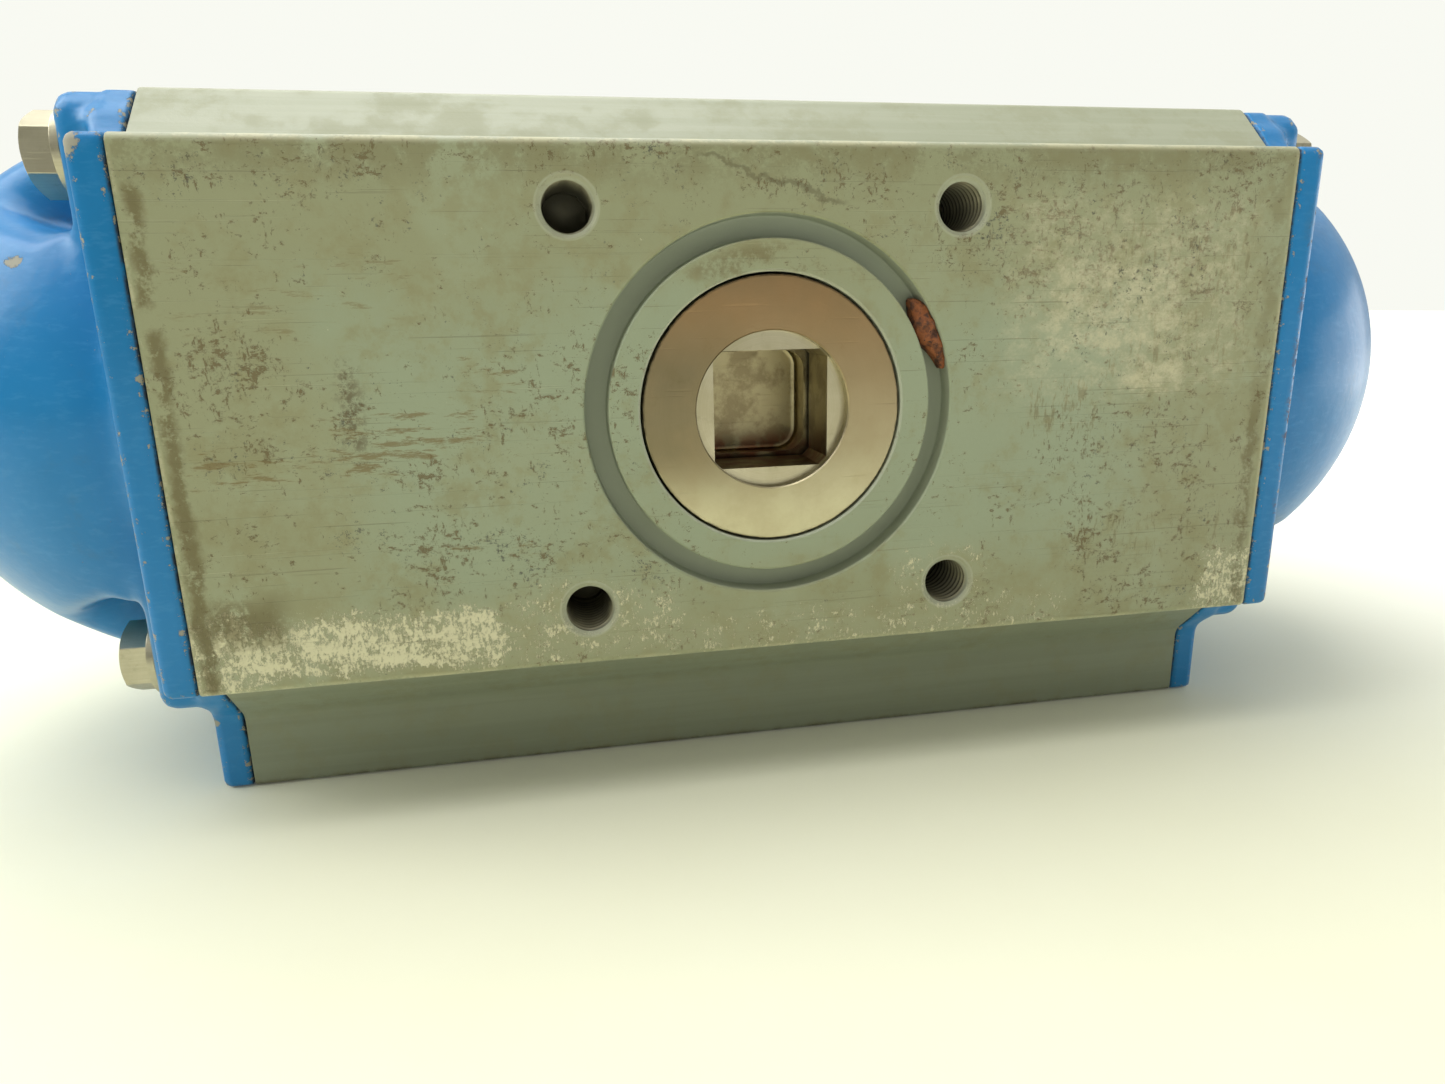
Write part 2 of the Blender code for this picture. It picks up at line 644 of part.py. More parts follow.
def rack_teeth(name):
    """A row of straight-sided teeth, with a tooth gap centred over the shaft."""
    lean = tan(PRESSURE_ANGLE)
    half = (TOOTH_PITCH / 2 - TOOTH_THINNING) / 2
    root = PITCH_RADIUS + DEDENDUM
    tip = PITCH_RADIUS - ADDENDUM
    sunk = 0.0010
    at_tip = half - ADDENDUM * lean
    at_root = half + (DEDENDUM + sunk) * lean
    first = -(RACK_TEETH_INWARD - 0.5) * TOOTH_PITCH
    tooth = [(-at_root, root + sunk), (-at_tip, tip), (at_tip, tip), (at_root, root + sunk)]
    obj = outline(name, [(first + x, z) for x, z in tooth], 2 * ARM_HALF_WIDTH - 0.0004,
                  (0, 0, 0), OUTLINE_XZ)
    row = obj.modifiers.new("row", "ARRAY")
    row.count = RACK_TEETH
    row.use_relative_offset = False
    row.use_constant_offset = True
    row.constant_offset_displace = (TOOTH_PITCH, 0, 0)
    return obj


def rack_arm(name):
    """The arm that carries the teeth, from the piston head past the shaft."""
    root = PITCH_RADIUS + DEDENDUM
    end = PISTON_INNER_X + 0.001
    return box(name, ((ARM_TIP_X + end) / 2, 0, (root + BORE_RADIUS) / 2),
               (end - ARM_TIP_X, 2 * ARM_HALF_WIDTH, BORE_RADIUS - root))


def half_turn(obj):
    """Turn obj by 180 degrees about the shaft axis, the place of the opposite piston."""
    bpy.context.view_layer.update()
    centre = Matrix.Translation((0, 0, AXIS_Z))
    obj.matrix_world = centre @ Matrix.Rotation(pi, 4, "Y") @ centre.inverted() @ obj.matrix_world
    return obj


def place_on_side(side, *objects):
    if side < 0:
        for obj in objects:
            half_turn(obj)


def piston(word, side, parent):
    """One piston, built on the +X side with its rack above the pinion, then turned over."""
    head = turned(f"{word}_piston", piston_head_profile(), along_x(1), 32)
    arm = rack_arm(f"rack_arm_{word}")
    teeth = rack_teeth(f"rack_teeth_{word}")
    limit = rod(f"arm_limit_{word}", (-0.060, 0, 0), (0.060, 0, 0), ARM_RADIUS, 32)
    combine(arm, "INTERSECT", limit)
    pocket = box(f"pad_pocket_{word}", (-0.026, 0, 0.0507), (0.024, 0.020, 0.010))
    place_on_side(side, head, arm, teeth, limit, pocket)
    join(head, arm, teeth)
    cut(head, pocket)
    finish(head, CAST, parent)

    pad = box(f"{word}_rack_pad", (-0.026, 0, 0.0510), (0.0234, 0.0194, 0.010))
    pad_limit = rod(f"pad_limit_{word}", (-0.060, 0, 0), (0.060, 0, 0), SLIDER_RADIUS, 48)
    place_on_side(side, pad, pad_limit)
    combine(pad, "INTERSECT", pad_limit)
    finish(pad, POLYMER, parent)

    seal = ring(f"{word}_piston_seal", 0.0461, SLIDER_RADIUS, 0.0603, 0.0637, along_x(side), 32)
    guide = ring(f"{word}_guide_ring", 0.0479, SLIDER_RADIUS, 0.0516, 0.0570, along_x(side), 32)
    finish(seal, RUBBER, parent)
    finish(guide, POLYMER, parent)


def coil_spring(name, side, mean_radius, wire_radius, start, end, turns):
    """A helical compression spring between the piston and the end cap."""
    curve = bpy.data.curves.new(name, "CURVE")
    curve.dimensions = "3D"
    curve.bevel_depth = wire_radius
    curve.bevel_resolution = 2
    curve.use_fill_caps = True
    per_turn = 8
    count = int(turns * per_turn)
    spline = curve.splines.new("POLY")
    spline.points.add(count)
    low = start + wire_radius
    high = end - wire_radius
    for i, point in enumerate(spline.points):
        a = 2 * pi * i / per_turn
        along = low + (high - low) * i / count
        point.co = (side * along, mean_radius * cos(a), mean_radius * sin(a), 1)
    drawn = bpy.data.objects.new(name, curve)
    PARTS.objects.link(drawn)
    bpy.context.view_layer.update()
    evaluated = drawn.evaluated_get(bpy.context.evaluated_depsgraph_get())
    mesh = bpy.data.meshes.new_from_object(evaluated)
    bpy.data.objects.remove(drawn, do_unlink=True)
    weld(mesh)
    obj = mesh_object(name, mesh)
    obj.location = (0, 0, AXIS_Z)
    return finish(obj, SPRING)


def springs(word, side):
    start = PISTON_OUTER_X - 0.005 + GAP
    coil_spring(f"{word}_outer_spring", side, 0.0325, 0.0024, start, OUTER_SEAT_X - GAP, 4)
    coil_spring(f"{word}_inner_spring", side, 0.0205, 0.0016, start, INNER_SEAT_X - GAP, 5)


# ---- stop screws and gallery plug ---------------------------------------------------------
def stop_screw(word, side):
    """Adjustable travel stop with its seal washer and lock nut on the top face."""
    x = side * STOP_SCREW_X
    y = STOP_SCREW_Y
    tip = CAM_FACE + 0.0002
    screw = rod(f"{word}_stop_screw", (x, y, tip), (x, y, 0.0690), 0.0039, 16)
    cut(screw, rod(f"stop_hex_{word}", (x, y, 0.0640), (x, y, 0.0700), 0.0023, 6))
    finish(screw, STAINLESS, empty(f"{word}_stop_axis", (x, y, AXIS_Z + TOP_HALF_HEIGHT)))
    washer = rod(f"{word}_stop_seal", (x, y, 0.0572), (x, y, 0.0584), 0.0070, 20)
    cut(washer, rod(f"stop_seal_hole_{word}", (x, y, 0.0560), (x, y, 0.0600), 0.0042, 16))
    finish(washer, RUBBER)
    nut = rod(f"{word}_lock_nut", (x, y, 0.0587), (x, y, 0.0637), 0.0130 / sqrt(3), 6)
    cut(nut, rod(f"nut_hole_{word}", (x, y, 0.0560), (x, y, 0.0660), 0.0042, 16))
    finish(nut, STAINLESS)


def gallery_plug():
    z = -AXIS_Z + GALLERY_Z
    plug = rod("gallery_plug", (PORT_X, 0.0398, z), (PORT_X, 0.0453, z), 0.0032, 16)
    cut(plug, rod("plug_hex", (PORT_X, 0.0425, z), (PORT_X, 0.0460, z), 0.0015, 6))
    finish(plug, STAINLESS)


# ---- assembly -----------------------------------------------------------------------------
housing()
for cap_side, cap_word in ((-1, "left"), (1, "right")):
    end_cap(f"{cap_word}_end_cap", cap_side)
    cap_fasteners(cap_side, cap_word)
    cap_seals(cap_side, cap_word)
    springs(cap_word, cap_side)
    piston_axis = empty(f"{cap_word}_piston_axis", (cap_side * PISTON_INNER_X, 0, AXIS_Z))
    piston(cap_word, cap_side, piston_axis)
shaft_axis = empty("shaft_axis", (0, 0, AXIS_Z))
pinion_shaft(shaft_axis)
shaft_rings(shaft_axis)
position_indicator(shaft_axis)
stop_screw("closed", 1)
stop_screw("open", -1)
gallery_plug()
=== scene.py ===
from math import atan2, cos, degrees, pi, radians, sin, sqrt, tan

import bmesh
import bpy
import numpy as np
from mathutils import Matrix, Vector


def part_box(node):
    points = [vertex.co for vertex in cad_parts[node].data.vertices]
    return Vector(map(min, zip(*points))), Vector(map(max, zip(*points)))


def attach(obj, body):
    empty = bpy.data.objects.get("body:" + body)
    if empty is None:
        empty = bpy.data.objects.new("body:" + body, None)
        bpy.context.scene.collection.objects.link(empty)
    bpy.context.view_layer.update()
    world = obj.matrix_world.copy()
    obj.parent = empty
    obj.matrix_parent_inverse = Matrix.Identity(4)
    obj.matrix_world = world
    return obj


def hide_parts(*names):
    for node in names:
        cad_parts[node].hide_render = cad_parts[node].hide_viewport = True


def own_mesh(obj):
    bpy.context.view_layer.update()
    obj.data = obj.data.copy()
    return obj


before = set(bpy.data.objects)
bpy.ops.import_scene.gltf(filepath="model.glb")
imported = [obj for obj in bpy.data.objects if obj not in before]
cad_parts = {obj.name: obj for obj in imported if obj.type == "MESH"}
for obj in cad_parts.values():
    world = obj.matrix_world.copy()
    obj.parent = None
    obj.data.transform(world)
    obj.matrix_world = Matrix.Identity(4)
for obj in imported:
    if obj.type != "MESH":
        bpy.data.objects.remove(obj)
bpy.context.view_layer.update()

# Shapes are drafted in millimetres relative to the shaft axis, in the frame's directions:
# X along the cylinder, -Y out of the mounting face, +Z up. piece() puts them in the frame.
MM = 0.001
shaft_low, shaft_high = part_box("pinion_shaft")
AXIS_Z = (shaft_low.z + shaft_high.z) / 2
BODY = "actuator_body"
SHAFT = "shaft"

# ---- driving dimensions, mm ---------------------------------------------------------------
BODY_HALF = 106.0
FACE = 66.0                     # cylinder axis to the mounting face
PAD_Z = 47.2
TOP_Z = 57.0
BASE_Z = -75.5
BLOCK_Y = 45.5
BORE = 50.0
CAP_IN = 106.3
FLANGE_OUT = 112.2
BLOCK_OUT = 120.1
BLOCK_DEPTH = 51.0
BLOCK_TOP = 56.1
BLOCK_BOTTOM = -56.0
DOME = 58.6
DOME_X = 112.8
POCKET_Y, POCKET_Z = 27.0, 34.0
BOLT_Y, BOLT_Z = 39.0, 47.2
HOLE = 36.06                    # tapped holes from the shaft axis, both ways
GROOVE_OUT, GROOVE_IN, GROOVE_DEPTH = 35.0, 30.8, 4.0
JOURNAL = 24.6
MOUTH, MOUTH_DEPTH = 14.6, 2.0
SQUARE_HALF = 11.0
PITCH_R, MODULE, TEETH = 21.0, 3.0, 14
PRESSURE = radians(20)


# ---- mesh drafting ------------------------------------------------------------------------
def draft(points, faces):
    """A closed draft mesh with its faces pointing out."""
    mesh = bpy.data.meshes.new("draft")
    mesh.from_pydata([tuple(p) for p in points], [], faces)
    work = bmesh.new()
    work.from_mesh(mesh)
    bmesh.ops.remove_doubles(work, verts=work.verts, dist=1e-5)
    bmesh.ops.recalc_face_normals(work, faces=work.faces)
    work.to_mesh(mesh)
    work.free()
    return mesh


def carve(base, *tools, operation="DIFFERENCE"):
    """base with every tool cut away (or joined, or kept in common) by exact Booleans."""
    obj = bpy.data.objects.new("carve", base)
    bpy.context.scene.collection.objects.link(obj)
    temporary = [obj]
    for tool in tools:
        helper = bpy.data.objects.new("tool", tool)
        bpy.context.scene.collection.objects.link(helper)
        temporary.append(helper)
        step = obj.modifiers.new("step", "BOOLEAN")
        step.operation = operation
        step.solver = "EXACT"
        step.object = helper
    bpy.context.view_layer.update()
    evaluated = obj.evaluated_get(bpy.context.evaluated_depsgraph_get())
    made = bpy.data.meshes.new_from_object(evaluated)
    for helper in temporary:
        bpy.data.objects.remove(helper, do_unlink=True)
    return made


def union(base, *tools):
    return carve(base, *tools, operation="UNION")


def moved(mesh, matrix):
    made = mesh.copy()
    made.transform(matrix)
    if matrix.determinant() < 0:
        made.flip_normals()
    return made


def shift(mesh, x=0.0, y=0.0, z=0.0):
    return moved(mesh, Matrix.Translation((x, y, z)))


TO_Y = Matrix(((1, 0, 0, 0), (0, 0, 1, 0), (0, -1, 0, 0), (0, 0, 0, 1)))
TO_X = Matrix(((0, 0, 1, 0), (1, 0, 0, 0), (0, 1, 0, 0), (0, 0, 0, 1)))
MIRROR_X = Matrix.Diagonal((-1, 1, 1, 1))
HALF_TURN = Matrix.Rotation(pi, 4, "Y")


def soften(points, radius, steps=3, closed=True):
    """The outline with its corners rounded; radius is one number or one for each corner."""
    count = len(points)
    radii = radius if isinstance(radius, (list, tuple)) else [radius] * count
    made = []
    for i, corner in enumerate(points):
        here = Vector(corner)
        if radii[i] <= 0 or (not closed and i in (0, count - 1)):
            made.append(tuple(here))
            continue
        before = Vector(points[i - 1]) - here
        after = Vector(points[(i + 1) % count]) - here
        half = before.angle(after) / 2
        reach = min(radii[i] / tan(half), before.length * 0.45, after.length * 0.45)
        r = reach * tan(half)
        before.normalize()
        after.normalize()
        centre = here + (before + after).normalized() * r / sin(half)
        first, last = here + before * reach - centre, here + after * reach - centre
        for k in range(steps + 1):
            way = first.lerp(last, k / steps).normalized() * r
            made.append(tuple(centre + way))
    return made


def turned(profile, segments=96, round_by=0.0, steps=2):
    """A solid turned about Z from a closed (radius, height) profile."""
    if round_by:
        on_axis = [0.0 if p[0] < 1e-6 else round_by for p in profile]
        profile = soften(profile, on_axis, steps)
    points, faces = [], []
    count = len(profile)
    for j in range(segments):
        a = 2 * pi * j / segments
        points += [(r * cos(a), r * sin(a), h) for r, h in profile]
    for j in range(segments):
        k = (j + 1) % segments
        for i in range(count):
            n = (i + 1) % count
            if profile[i][0] < 1e-6 and profile[n][0] < 1e-6:
                continue
            loop = [j * count + i, j * count + n, k * count + n, k * count + i]
            if profile[i][0] < 1e-6:
                loop = loop[:3]
            elif profile[n][0] < 1e-6:
                loop = [loop[0], loop[1], loop[3]]
            faces.append(loop)
    return draft(points, faces)


def cylinder(radius, low, high, segments=96, edge=0.0):
    profile = [(0, high), (radius, high), (radius, low), (0, low)]
    return turned(profile, segments, edge)


def inset(outline, distance):
    """The outline moved inwards, point by point; it runs anticlockwise."""
    made = []
    for i, point in enumerate(outline):
        way = Vector(outline[(i + 1) % len(outline)]) - Vector(outline[i - 1])
        way.normalize()
        made.append((point[0] - way.y * distance, point[1] + way.x * distance))
    return made


def prism(outline, low, high, edge=0.0):
    """An outline in XY extruded along Z, with its end edges broken by edge."""
    rings = [(low, 0.0), (high, 0.0)]
    if edge:
        rings = [(low, edge), (low + edge * 0.3, edge * 0.3), (low + edge, 0.0),
                 (high - edge, 0.0), (high - edge * 0.3, edge * 0.3), (high, edge)]
    points = []
    for height, distance in rings:
        points += [(u, v, height) for u, v in inset(outline, distance)]
    count = len(outline)
    faces = [list(range(count))[::-1], [(len(rings) - 1) * count + i for i in range(count)]]
    for level in range(len(rings) - 1):
        for i in range(count):
            n = (i + 1) % count
            a = level * count
            faces.append([a + i, a + n, a + count + n, a + count + i])
    return draft(points, faces)


def block(low, high, edge=0.3):
    """A box between two corners with small broken edges."""
    (x0, y0, z0), (x1, y1, z1) = low, high
    outline = soften([(x0, y0), (x1, y0), (x1, y1), (x0, y1)], edge, 2)
    return prism(outline, z0, z1, edge)


def thread(core, crest, pitch, low, high, segments=40):
    """A rod along Z with a helical V thread."""
    steps = 8
    rows = int((high - low) / pitch * steps) + 1
    points = []
    for i in range(rows):
        h = low + (high - low) * i / (rows - 1)
        for j in range(segments):
            phase = (h / pitch - j / segments) % 1.0
            r = core + (crest - core) * min(1.0, max(0.0, 1.25 * (1 - abs(2 * phase - 1)) - 0.1))
            a = 2 * pi * j / segments
            points.append((r * cos(a), r * sin(a), h))
    faces = [list(range(segments))[::-1], [(rows - 1) * segments + j for j in range(segments)]]
    for i in range(rows - 1):
        for j in range(segments):
            k = (j + 1) % segments
            a, b = i * segments, (i + 1) * segments
            faces.append([a + j, a + k, b + k, b + j])
    return draft(points, faces)


def tube(path, radius, sides=14):
    """A round wire along a list of points, closed at both ends."""
    path = [Vector(p) for p in path]
    points, faces = [], []
    normal = (path[1] - path[0]).orthogonal().normalized()
    for i, here in enumerate(path):
        tangent = (path[min(i + 1, len(path) - 1)] - path[max(i - 1, 0)]).normalized()
        normal = (normal - tangent * normal.dot(tangent)).normalized()
        side = tangent.cross(normal)
        for j in range(sides):
            a = 2 * pi * j / sides
            points.append(here + (normal * cos(a) + side * sin(a)) * radius)
    count = len(path)
    faces = [list(range(sides)), [(count - 1) * sides + j for j in range(sides)][::-1]]
    for i in range(count - 1):
        for j in range(sides):
            k = (j + 1) % sides
            faces.append([i * sides + j, i * sides + k, (i + 1) * sides + k, (i + 1) * sides + j])
    return draft(points, faces)


def piece(name, mesh, body, look, stands_for=(), sharp=32.0):
    """Puts a draft mesh in the frame as a finished piece that rides on a body."""
    mesh.name = name
    mesh.transform(Matrix.Translation((0, 0, AXIS_Z)) @ Matrix.Scale(MM, 4))
    mesh.materials.clear()
    mesh.materials.append(look.material)
    mesh.shade_smooth()
    mesh.set_sharp_from_angle(angle=radians(sharp))
    obj = bpy.data.objects.new(name, mesh)
    bpy.context.scene.collection.objects.link(obj)
    weighted = obj.modifiers.new("flat_faces_first", "WEIGHTED_NORMAL")
    weighted.keep_sharp = True
    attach(obj, body)
    if stands_for:
        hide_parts(*stands_for)
    return obj


# ---- cast end caps, from a distance field -------------------------------------------------
def polygon_distance(u, v, outline):
    """Signed distance to a closed outline, negative inside."""
    best = np.inf
    inside = False
    for i, b in enumerate(outline):
        a = outline[i - 1]
        eu, ev = b[0] - a[0], b[1] - a[1]
        wu, wv = u - a[0], v - a[1]
        t = np.clip((wu * eu + wv * ev) / (eu * eu + ev * ev), 0, 1)
        best = np.minimum(best, (wu - eu * t) ** 2 + (wv - ev * t) ** 2)
        if abs(ev) > 1e-9:
            inside = inside ^ (((a[1] > v) != (b[1] > v)) & (u < eu * wv / ev + a[0]))
    return np.where(inside, -1.0, 1.0) * np.sqrt(best)


def blend_min(a, b, k):
    """Union of two fields with a concave blend of about k."""
    h = np.maximum(k - np.abs(a - b), 0) / k
    return np.minimum(a, b) - h * h * k / 4


def blend_max(a, b, k):
    return -blend_min(-a, -b, k)


def round_max(a, b, r):
    """What two fields have in common, with the edge between them rounded to r."""
    outer = np.sqrt(np.maximum(a + r, 0) ** 2 + np.maximum(b + r, 0) ** 2)
    return outer + np.minimum(np.maximum(a, b) + r, 0) - r


def ease(value, low, high):
    t = np.clip((value - low) / (high - low), 0, 1)
    return t * t * (3 - 2 * t)


def body_outline(top=TOP_Z):
    """Section of body and flange in YZ, anticlockwise, with its roundings."""
    side = 58.0
    corners = [
        (BLOCK_Y, BASE_Z, 1.0), (BLOCK_Y, -PAD_Z - side + BLOCK_Y, 4.0), (side, -PAD_Z, 3.0),
        (FACE, -PAD_Z, 1.5), (FACE, PAD_Z, 1.8), (side, PAD_Z, 2.5),
        (side - top + PAD_Z, top, 2.2)]
    corners += [(-y, z, r) for y, z, r in reversed(corners)]
    return soften([(y, z) for y, z, r in corners], [r for y, z, r in corners], 5)


def cap_block_outline():
    slope = BLOCK_DEPTH - (58.0 - TOP_Z + PAD_Z)
    corners = [(BLOCK_DEPTH, BLOCK_BOTTOM, 4.0), (BLOCK_DEPTH, BLOCK_TOP - slope, 3.0),
               (BLOCK_DEPTH - slope, BLOCK_TOP, 2.2)]
    corners += [(-y, z, r) for y, z, r in reversed(corners)]
    return soften([(y, z) for y, z, r in corners], [r for y, z, r in corners], 5)


FLANGE_OUTLINE = body_outline(56.4)
CAP_BLOCK = cap_block_outline()
CHAMBER = [(100, -1), (100, BORE), (112.5, BORE), (115.5, 42), (143.5, 42), (150, 36.3),
           (150, 26), (158, 24), (158, -1)]


def cap_field(x, y, z):
    """Distance field of the right end cap, mm."""
    ay, az = np.abs(y), np.abs(z)
    flange = round_max(polygon_distance(y, z, FLANGE_OUTLINE), x - FLANGE_OUT, 1.8)
    thick = round_max(polygon_distance(y, z, CAP_BLOCK), x - BLOCK_OUT, 4.0)
    crown = np.sqrt((x - DOME_X) ** 2 + y ** 2 + z ** 2) - DOME
    crown = blend_max(crown, az - BLOCK_TOP + 0.2, 3.0)
    # a wide fillet beside the shoulder, and none on top, where it would swell
    fillet = 1.6 - 1.2 * ease(z, 52, 55) + 4.4 * ease(z, 46, 50) * (1 - ease(z, 51, 54.5))
    shape = blend_min(flange, thick, fillet)
    shape = blend_min(shape, crown, 2.5 + 3.5 * (1 - ease(az, 10, 30)))
    pocket = round_max(POCKET_Y - ay, POCKET_Z - az, 4.0)
    pocket = round_max(pocket, (x - 131 - 1.1 * (az - POCKET_Z)) / 1.49, 5.0)
    shape = blend_max(shape, -round_max(pocket, 119.9 - x, 2.0), 1.8 + 4.4 * ease(x, 121.5, 128))
    radius = np.sqrt(y ** 2 + z ** 2)
    shape = blend_max(shape, -polygon_distance(x, radius, CHAMBER), 0.8)
    bolt = np.sqrt((ay - BOLT_Y) ** 2 + (az - BOLT_Z) ** 2) - 4.5
    shape = np.maximum(shape, -np.maximum(bolt, x - 124))
    groove = np.maximum(np.abs(radius - 53.1) - 1.3, x - 108.2)
    gallery = np.sqrt((y - 22) ** 2 + (z + 63) ** 2)
    # the air way stops short of the thin flange's outer face, so that the grid keeps a wall
    way = np.minimum(gallery - 2.5, np.maximum(gallery - 4.5, x - 107.8))
    riser = np.maximum(np.sqrt((x - 110.1) ** 2 + (y - 22) ** 2) - 1.2, np.abs(z + 51.5) - 11.5)
    way = np.maximum(np.minimum(way, riser), x - 110.2)
    shape = np.maximum(shape, -np.minimum(groove, way))
    return round_max(shape, CAP_IN - x, 0.5)


def surface_net(field, low, high, step):
    """Closed quads of a field's zero level: one point in each cell the surface crosses."""
    axes = [np.arange(a, b + step, step) for a, b in zip(low, high)]
    grid = field(axes[0][:, None, None], axes[1][None, :, None], axes[2][None, None, :])
    grid = np.ascontiguousarray(np.broadcast_to(grid, [len(a) for a in axes]))
    inside = grid < 0
    cells = tuple(n - 1 for n in grid.shape)
    corners = [(i, j, k) for i in (0, 1) for j in (0, 1) for k in (0, 1)]
    full = np.zeros(cells, np.int8)
    for i, j, k in corners:
        full += inside[i:i + cells[0], j:j + cells[1], k:k + cells[2]]
    where = np.argwhere((full > 0) & (full < 8))
    number = np.full(cells, -1, np.int64)
    number[tuple(where.T)] = np.arange(len(where))
    total, hits = np.zeros((len(where), 3)), np.zeros(len(where))
    for a in corners:
        for axis in range(3):
            if a[axis]:
                continue
            b = list(a)
            b[axis] = 1
            fa, fb = grid[tuple((where + a).T)], grid[tuple((where + b).T)]
            cross = (fa < 0) != (fb < 0)
            t = np.where(cross, fa / np.where(cross, fa - fb, 1), 0)
            spot = np.array(a, float) + np.outer(t, np.array(b) - np.array(a))
            total += np.where(cross[:, None], where + spot, 0)
            hits += cross
    points = total / hits[:, None] * step + np.array([a[0] for a in axes])
    faces = []
    for axis in range(3):
        u, v = (axis + 1) % 3, (axis + 2) % 3
        first = [slice(None)] * 3
        first[axis] = slice(0, -1)
        second = [slice(None)] * 3
        second[axis] = slice(1, None)
        a, b = inside[tuple(first)], inside[tuple(second)]
        edges = np.argwhere(a != b)
        starts = a[tuple(edges.T)]
        quad = []
        for du, dv in ((-1, -1), (0, -1), (0, 0), (-1, 0)):
            cell = edges.copy()
            cell[:, u] += du
            cell[:, v] += dv
            quad.append(number[tuple(cell.T)])
        quad = np.array(quad).T
        faces.append(quad[starts])
        faces.append(quad[~starts][:, ::-1])
    return points, np.concatenate(faces)


def field_slope(field, points, reach):
    """Gradient and curvature of the field at each point."""
    x, y, z = points.T
    slope, middle = [], field(x, y, z)
    bend = -6 * middle
    for axis in range(3):
        step = [0.0, 0.0, 0.0]
        step[axis] = reach
        ahead = field(x + step[0], y + step[1], z + step[2])
        behind = field(x - step[0], y - step[1], z - step[2])
        slope.append((ahead - behind) / (2 * reach))
        bend = bend + ahead + behind
    return np.array(slope).T, bend / reach ** 2, middle


def cap_mesh(step=0.8):
    """Right end cap, with its convex and hollow places marked for the paint."""
    points, faces = surface_net(cap_field, (104.8, -68, -77.2), (172.8, 68, 58.8), step)
    for _ in range(2):
        slope, bend, value = field_slope(cap_field, points, 0.05)
        size = np.maximum((slope ** 2).sum(1), 0.25)
        points = points - slope * np.clip(value / size, -0.3, 0.3)[:, None]
    mesh = bpy.data.meshes.new("end_cap")
    mesh.from_pydata(points, [], faces)
    bend = field_slope(cap_field, points, 1.2)[1]
    for name, marks in (("convex", bend), ("hollow", -bend)):
        layer = mesh.attributes.new(name, "FLOAT", "POINT")
        layer.data.foreach_set("value", np.clip(marks, 0, 1).astype(np.float32))
    return mesh


# ---- housing ------------------------------------------------------------------------------
def outward(mesh, x=0.0, z=0.0, face=-FACE):
    """Stands a shape turned about Z on the mounting face: its +Z points into the housing."""
    return shift(moved(mesh, TO_Y), x, face, z)


def bore_tool(radius, depth, chamfer, segments=64, floor=0.0):
    """Cutter for a drilled hole with a chamfered mouth; floor is the depth of its drill point."""
    return turned([(0, -1), (radius + chamfer + 1, -1), (radius, chamfer), (radius, depth),
                   (0, depth + floor)], segments)


def tapped_tool():
    """Cutter for one M10 hole: chamfer, thread and drill point."""
    thread_tool = thread(4.25, 4.95, 1.5, 0.4, 19)
    return union(bore_tool(4.3, 21, 1.0, 48, 2.4), thread_tool)


def groove_tool():
    """Cutter for the centring groove, with eased lips and rounded bottom corners."""
    a, b, d = GROOVE_IN, GROOVE_OUT, GROOVE_DEPTH
    return turned([(a - 0.6, -0.3), (b + 0.6, -0.3), (b + 0.05, 0.35), (b, d - 0.7), (b - 0.25, d - 0.2),
                   (b - 0.8, d), (a + 0.8, d), (a + 0.25, d - 0.2), (a, d - 0.7),
                   (a - 0.05, 0.35)], 160)


def housing_mesh():
    outline = body_outline()
    body = moved(prism(outline, -BODY_HALF, BODY_HALF, 0.35), TO_X)
    front = union(outward(turned([(0, -1), (26.4, -1), (25.0, 0.4), (25.0, 36), (0, 36)], 128)),
                  outward(cylinder(27.8, 8, 36, 128)))
    rear = shift(moved(turned([(0, 30), (19.3, 30), (19.3, 58), (16.4, 58), (16.4, 65.6),
                               (17.4, 67), (0, 67)], 96), TO_Y))
    tools = [moved(cylinder(BORE, -108, 108, 160), TO_X), front, rear, outward(groove_tool())]
    tapped = tapped_tool()
    for x in (-HOLE, HOLE):
        for z in (-HOLE, HOLE):
            tools.append(outward(tapped, x, z))
    small = bore_tool(2.1, 9, 0.5, 32, 1.0)
    for x in (-40, 40):
        for z in (-15, 15):
            tools.append(shift(moved(moved(small, TO_Y), Matrix.Rotation(pi, 4, "Z")), x, FACE, z))
    port = bore_tool(5.9, 12, 0.8, 64)
    for x in (-12, 12):
        tools.append(shift(port, x, 0, BASE_Z))
    valve = bore_tool(2.1, 8, 0.4, 32)
    for x, y in ((-16, 12), (16, 12), (-16, -12), (16, -12)):
        tools.append(shift(valve, x, y, BASE_Z))
    tools.append(shift(cylinder(3.0, 0, 20.5, 32), -12, 0, -65.5))
    gallery_z = BASE_Z + 12.5
    tools.append(shift(moved(cylinder(2.5, 0, 45, 32), TO_Y), 12, 0, gallery_z))
    plug = turned([(0, 39.5), (3.5, 39.5), (3.5, 45.0), (4.6, 46.2), (0, 46.2)], 48)
    tools.append(shift(moved(plug, TO_Y), 12, 0, gallery_z))
    tools.append(shift(moved(cylinder(2.5, -110, 110, 24), TO_X), 0, 22, gallery_z))
    for side in (-1, 1):
        stop = turned([(0, 30), (4.3, 30), (4.3, 56.6), (5.2, 57.6), (0, 57.6)], 48)
        tools.append(shift(stop, side * 16, 35.5))
        for y in (-BOLT_Y, BOLT_Y):
            for z in (-BOLT_Z, BOLT_Z):
                hole = moved(cylinder(4.3, 84, 108, 24), TO_X)
                if side < 0:
                    hole = moved(hole, Matrix.Rotation(pi, 4, "Z"))
                tools.append(shift(hole, 0, y, z))
    return carve(body, *tools)


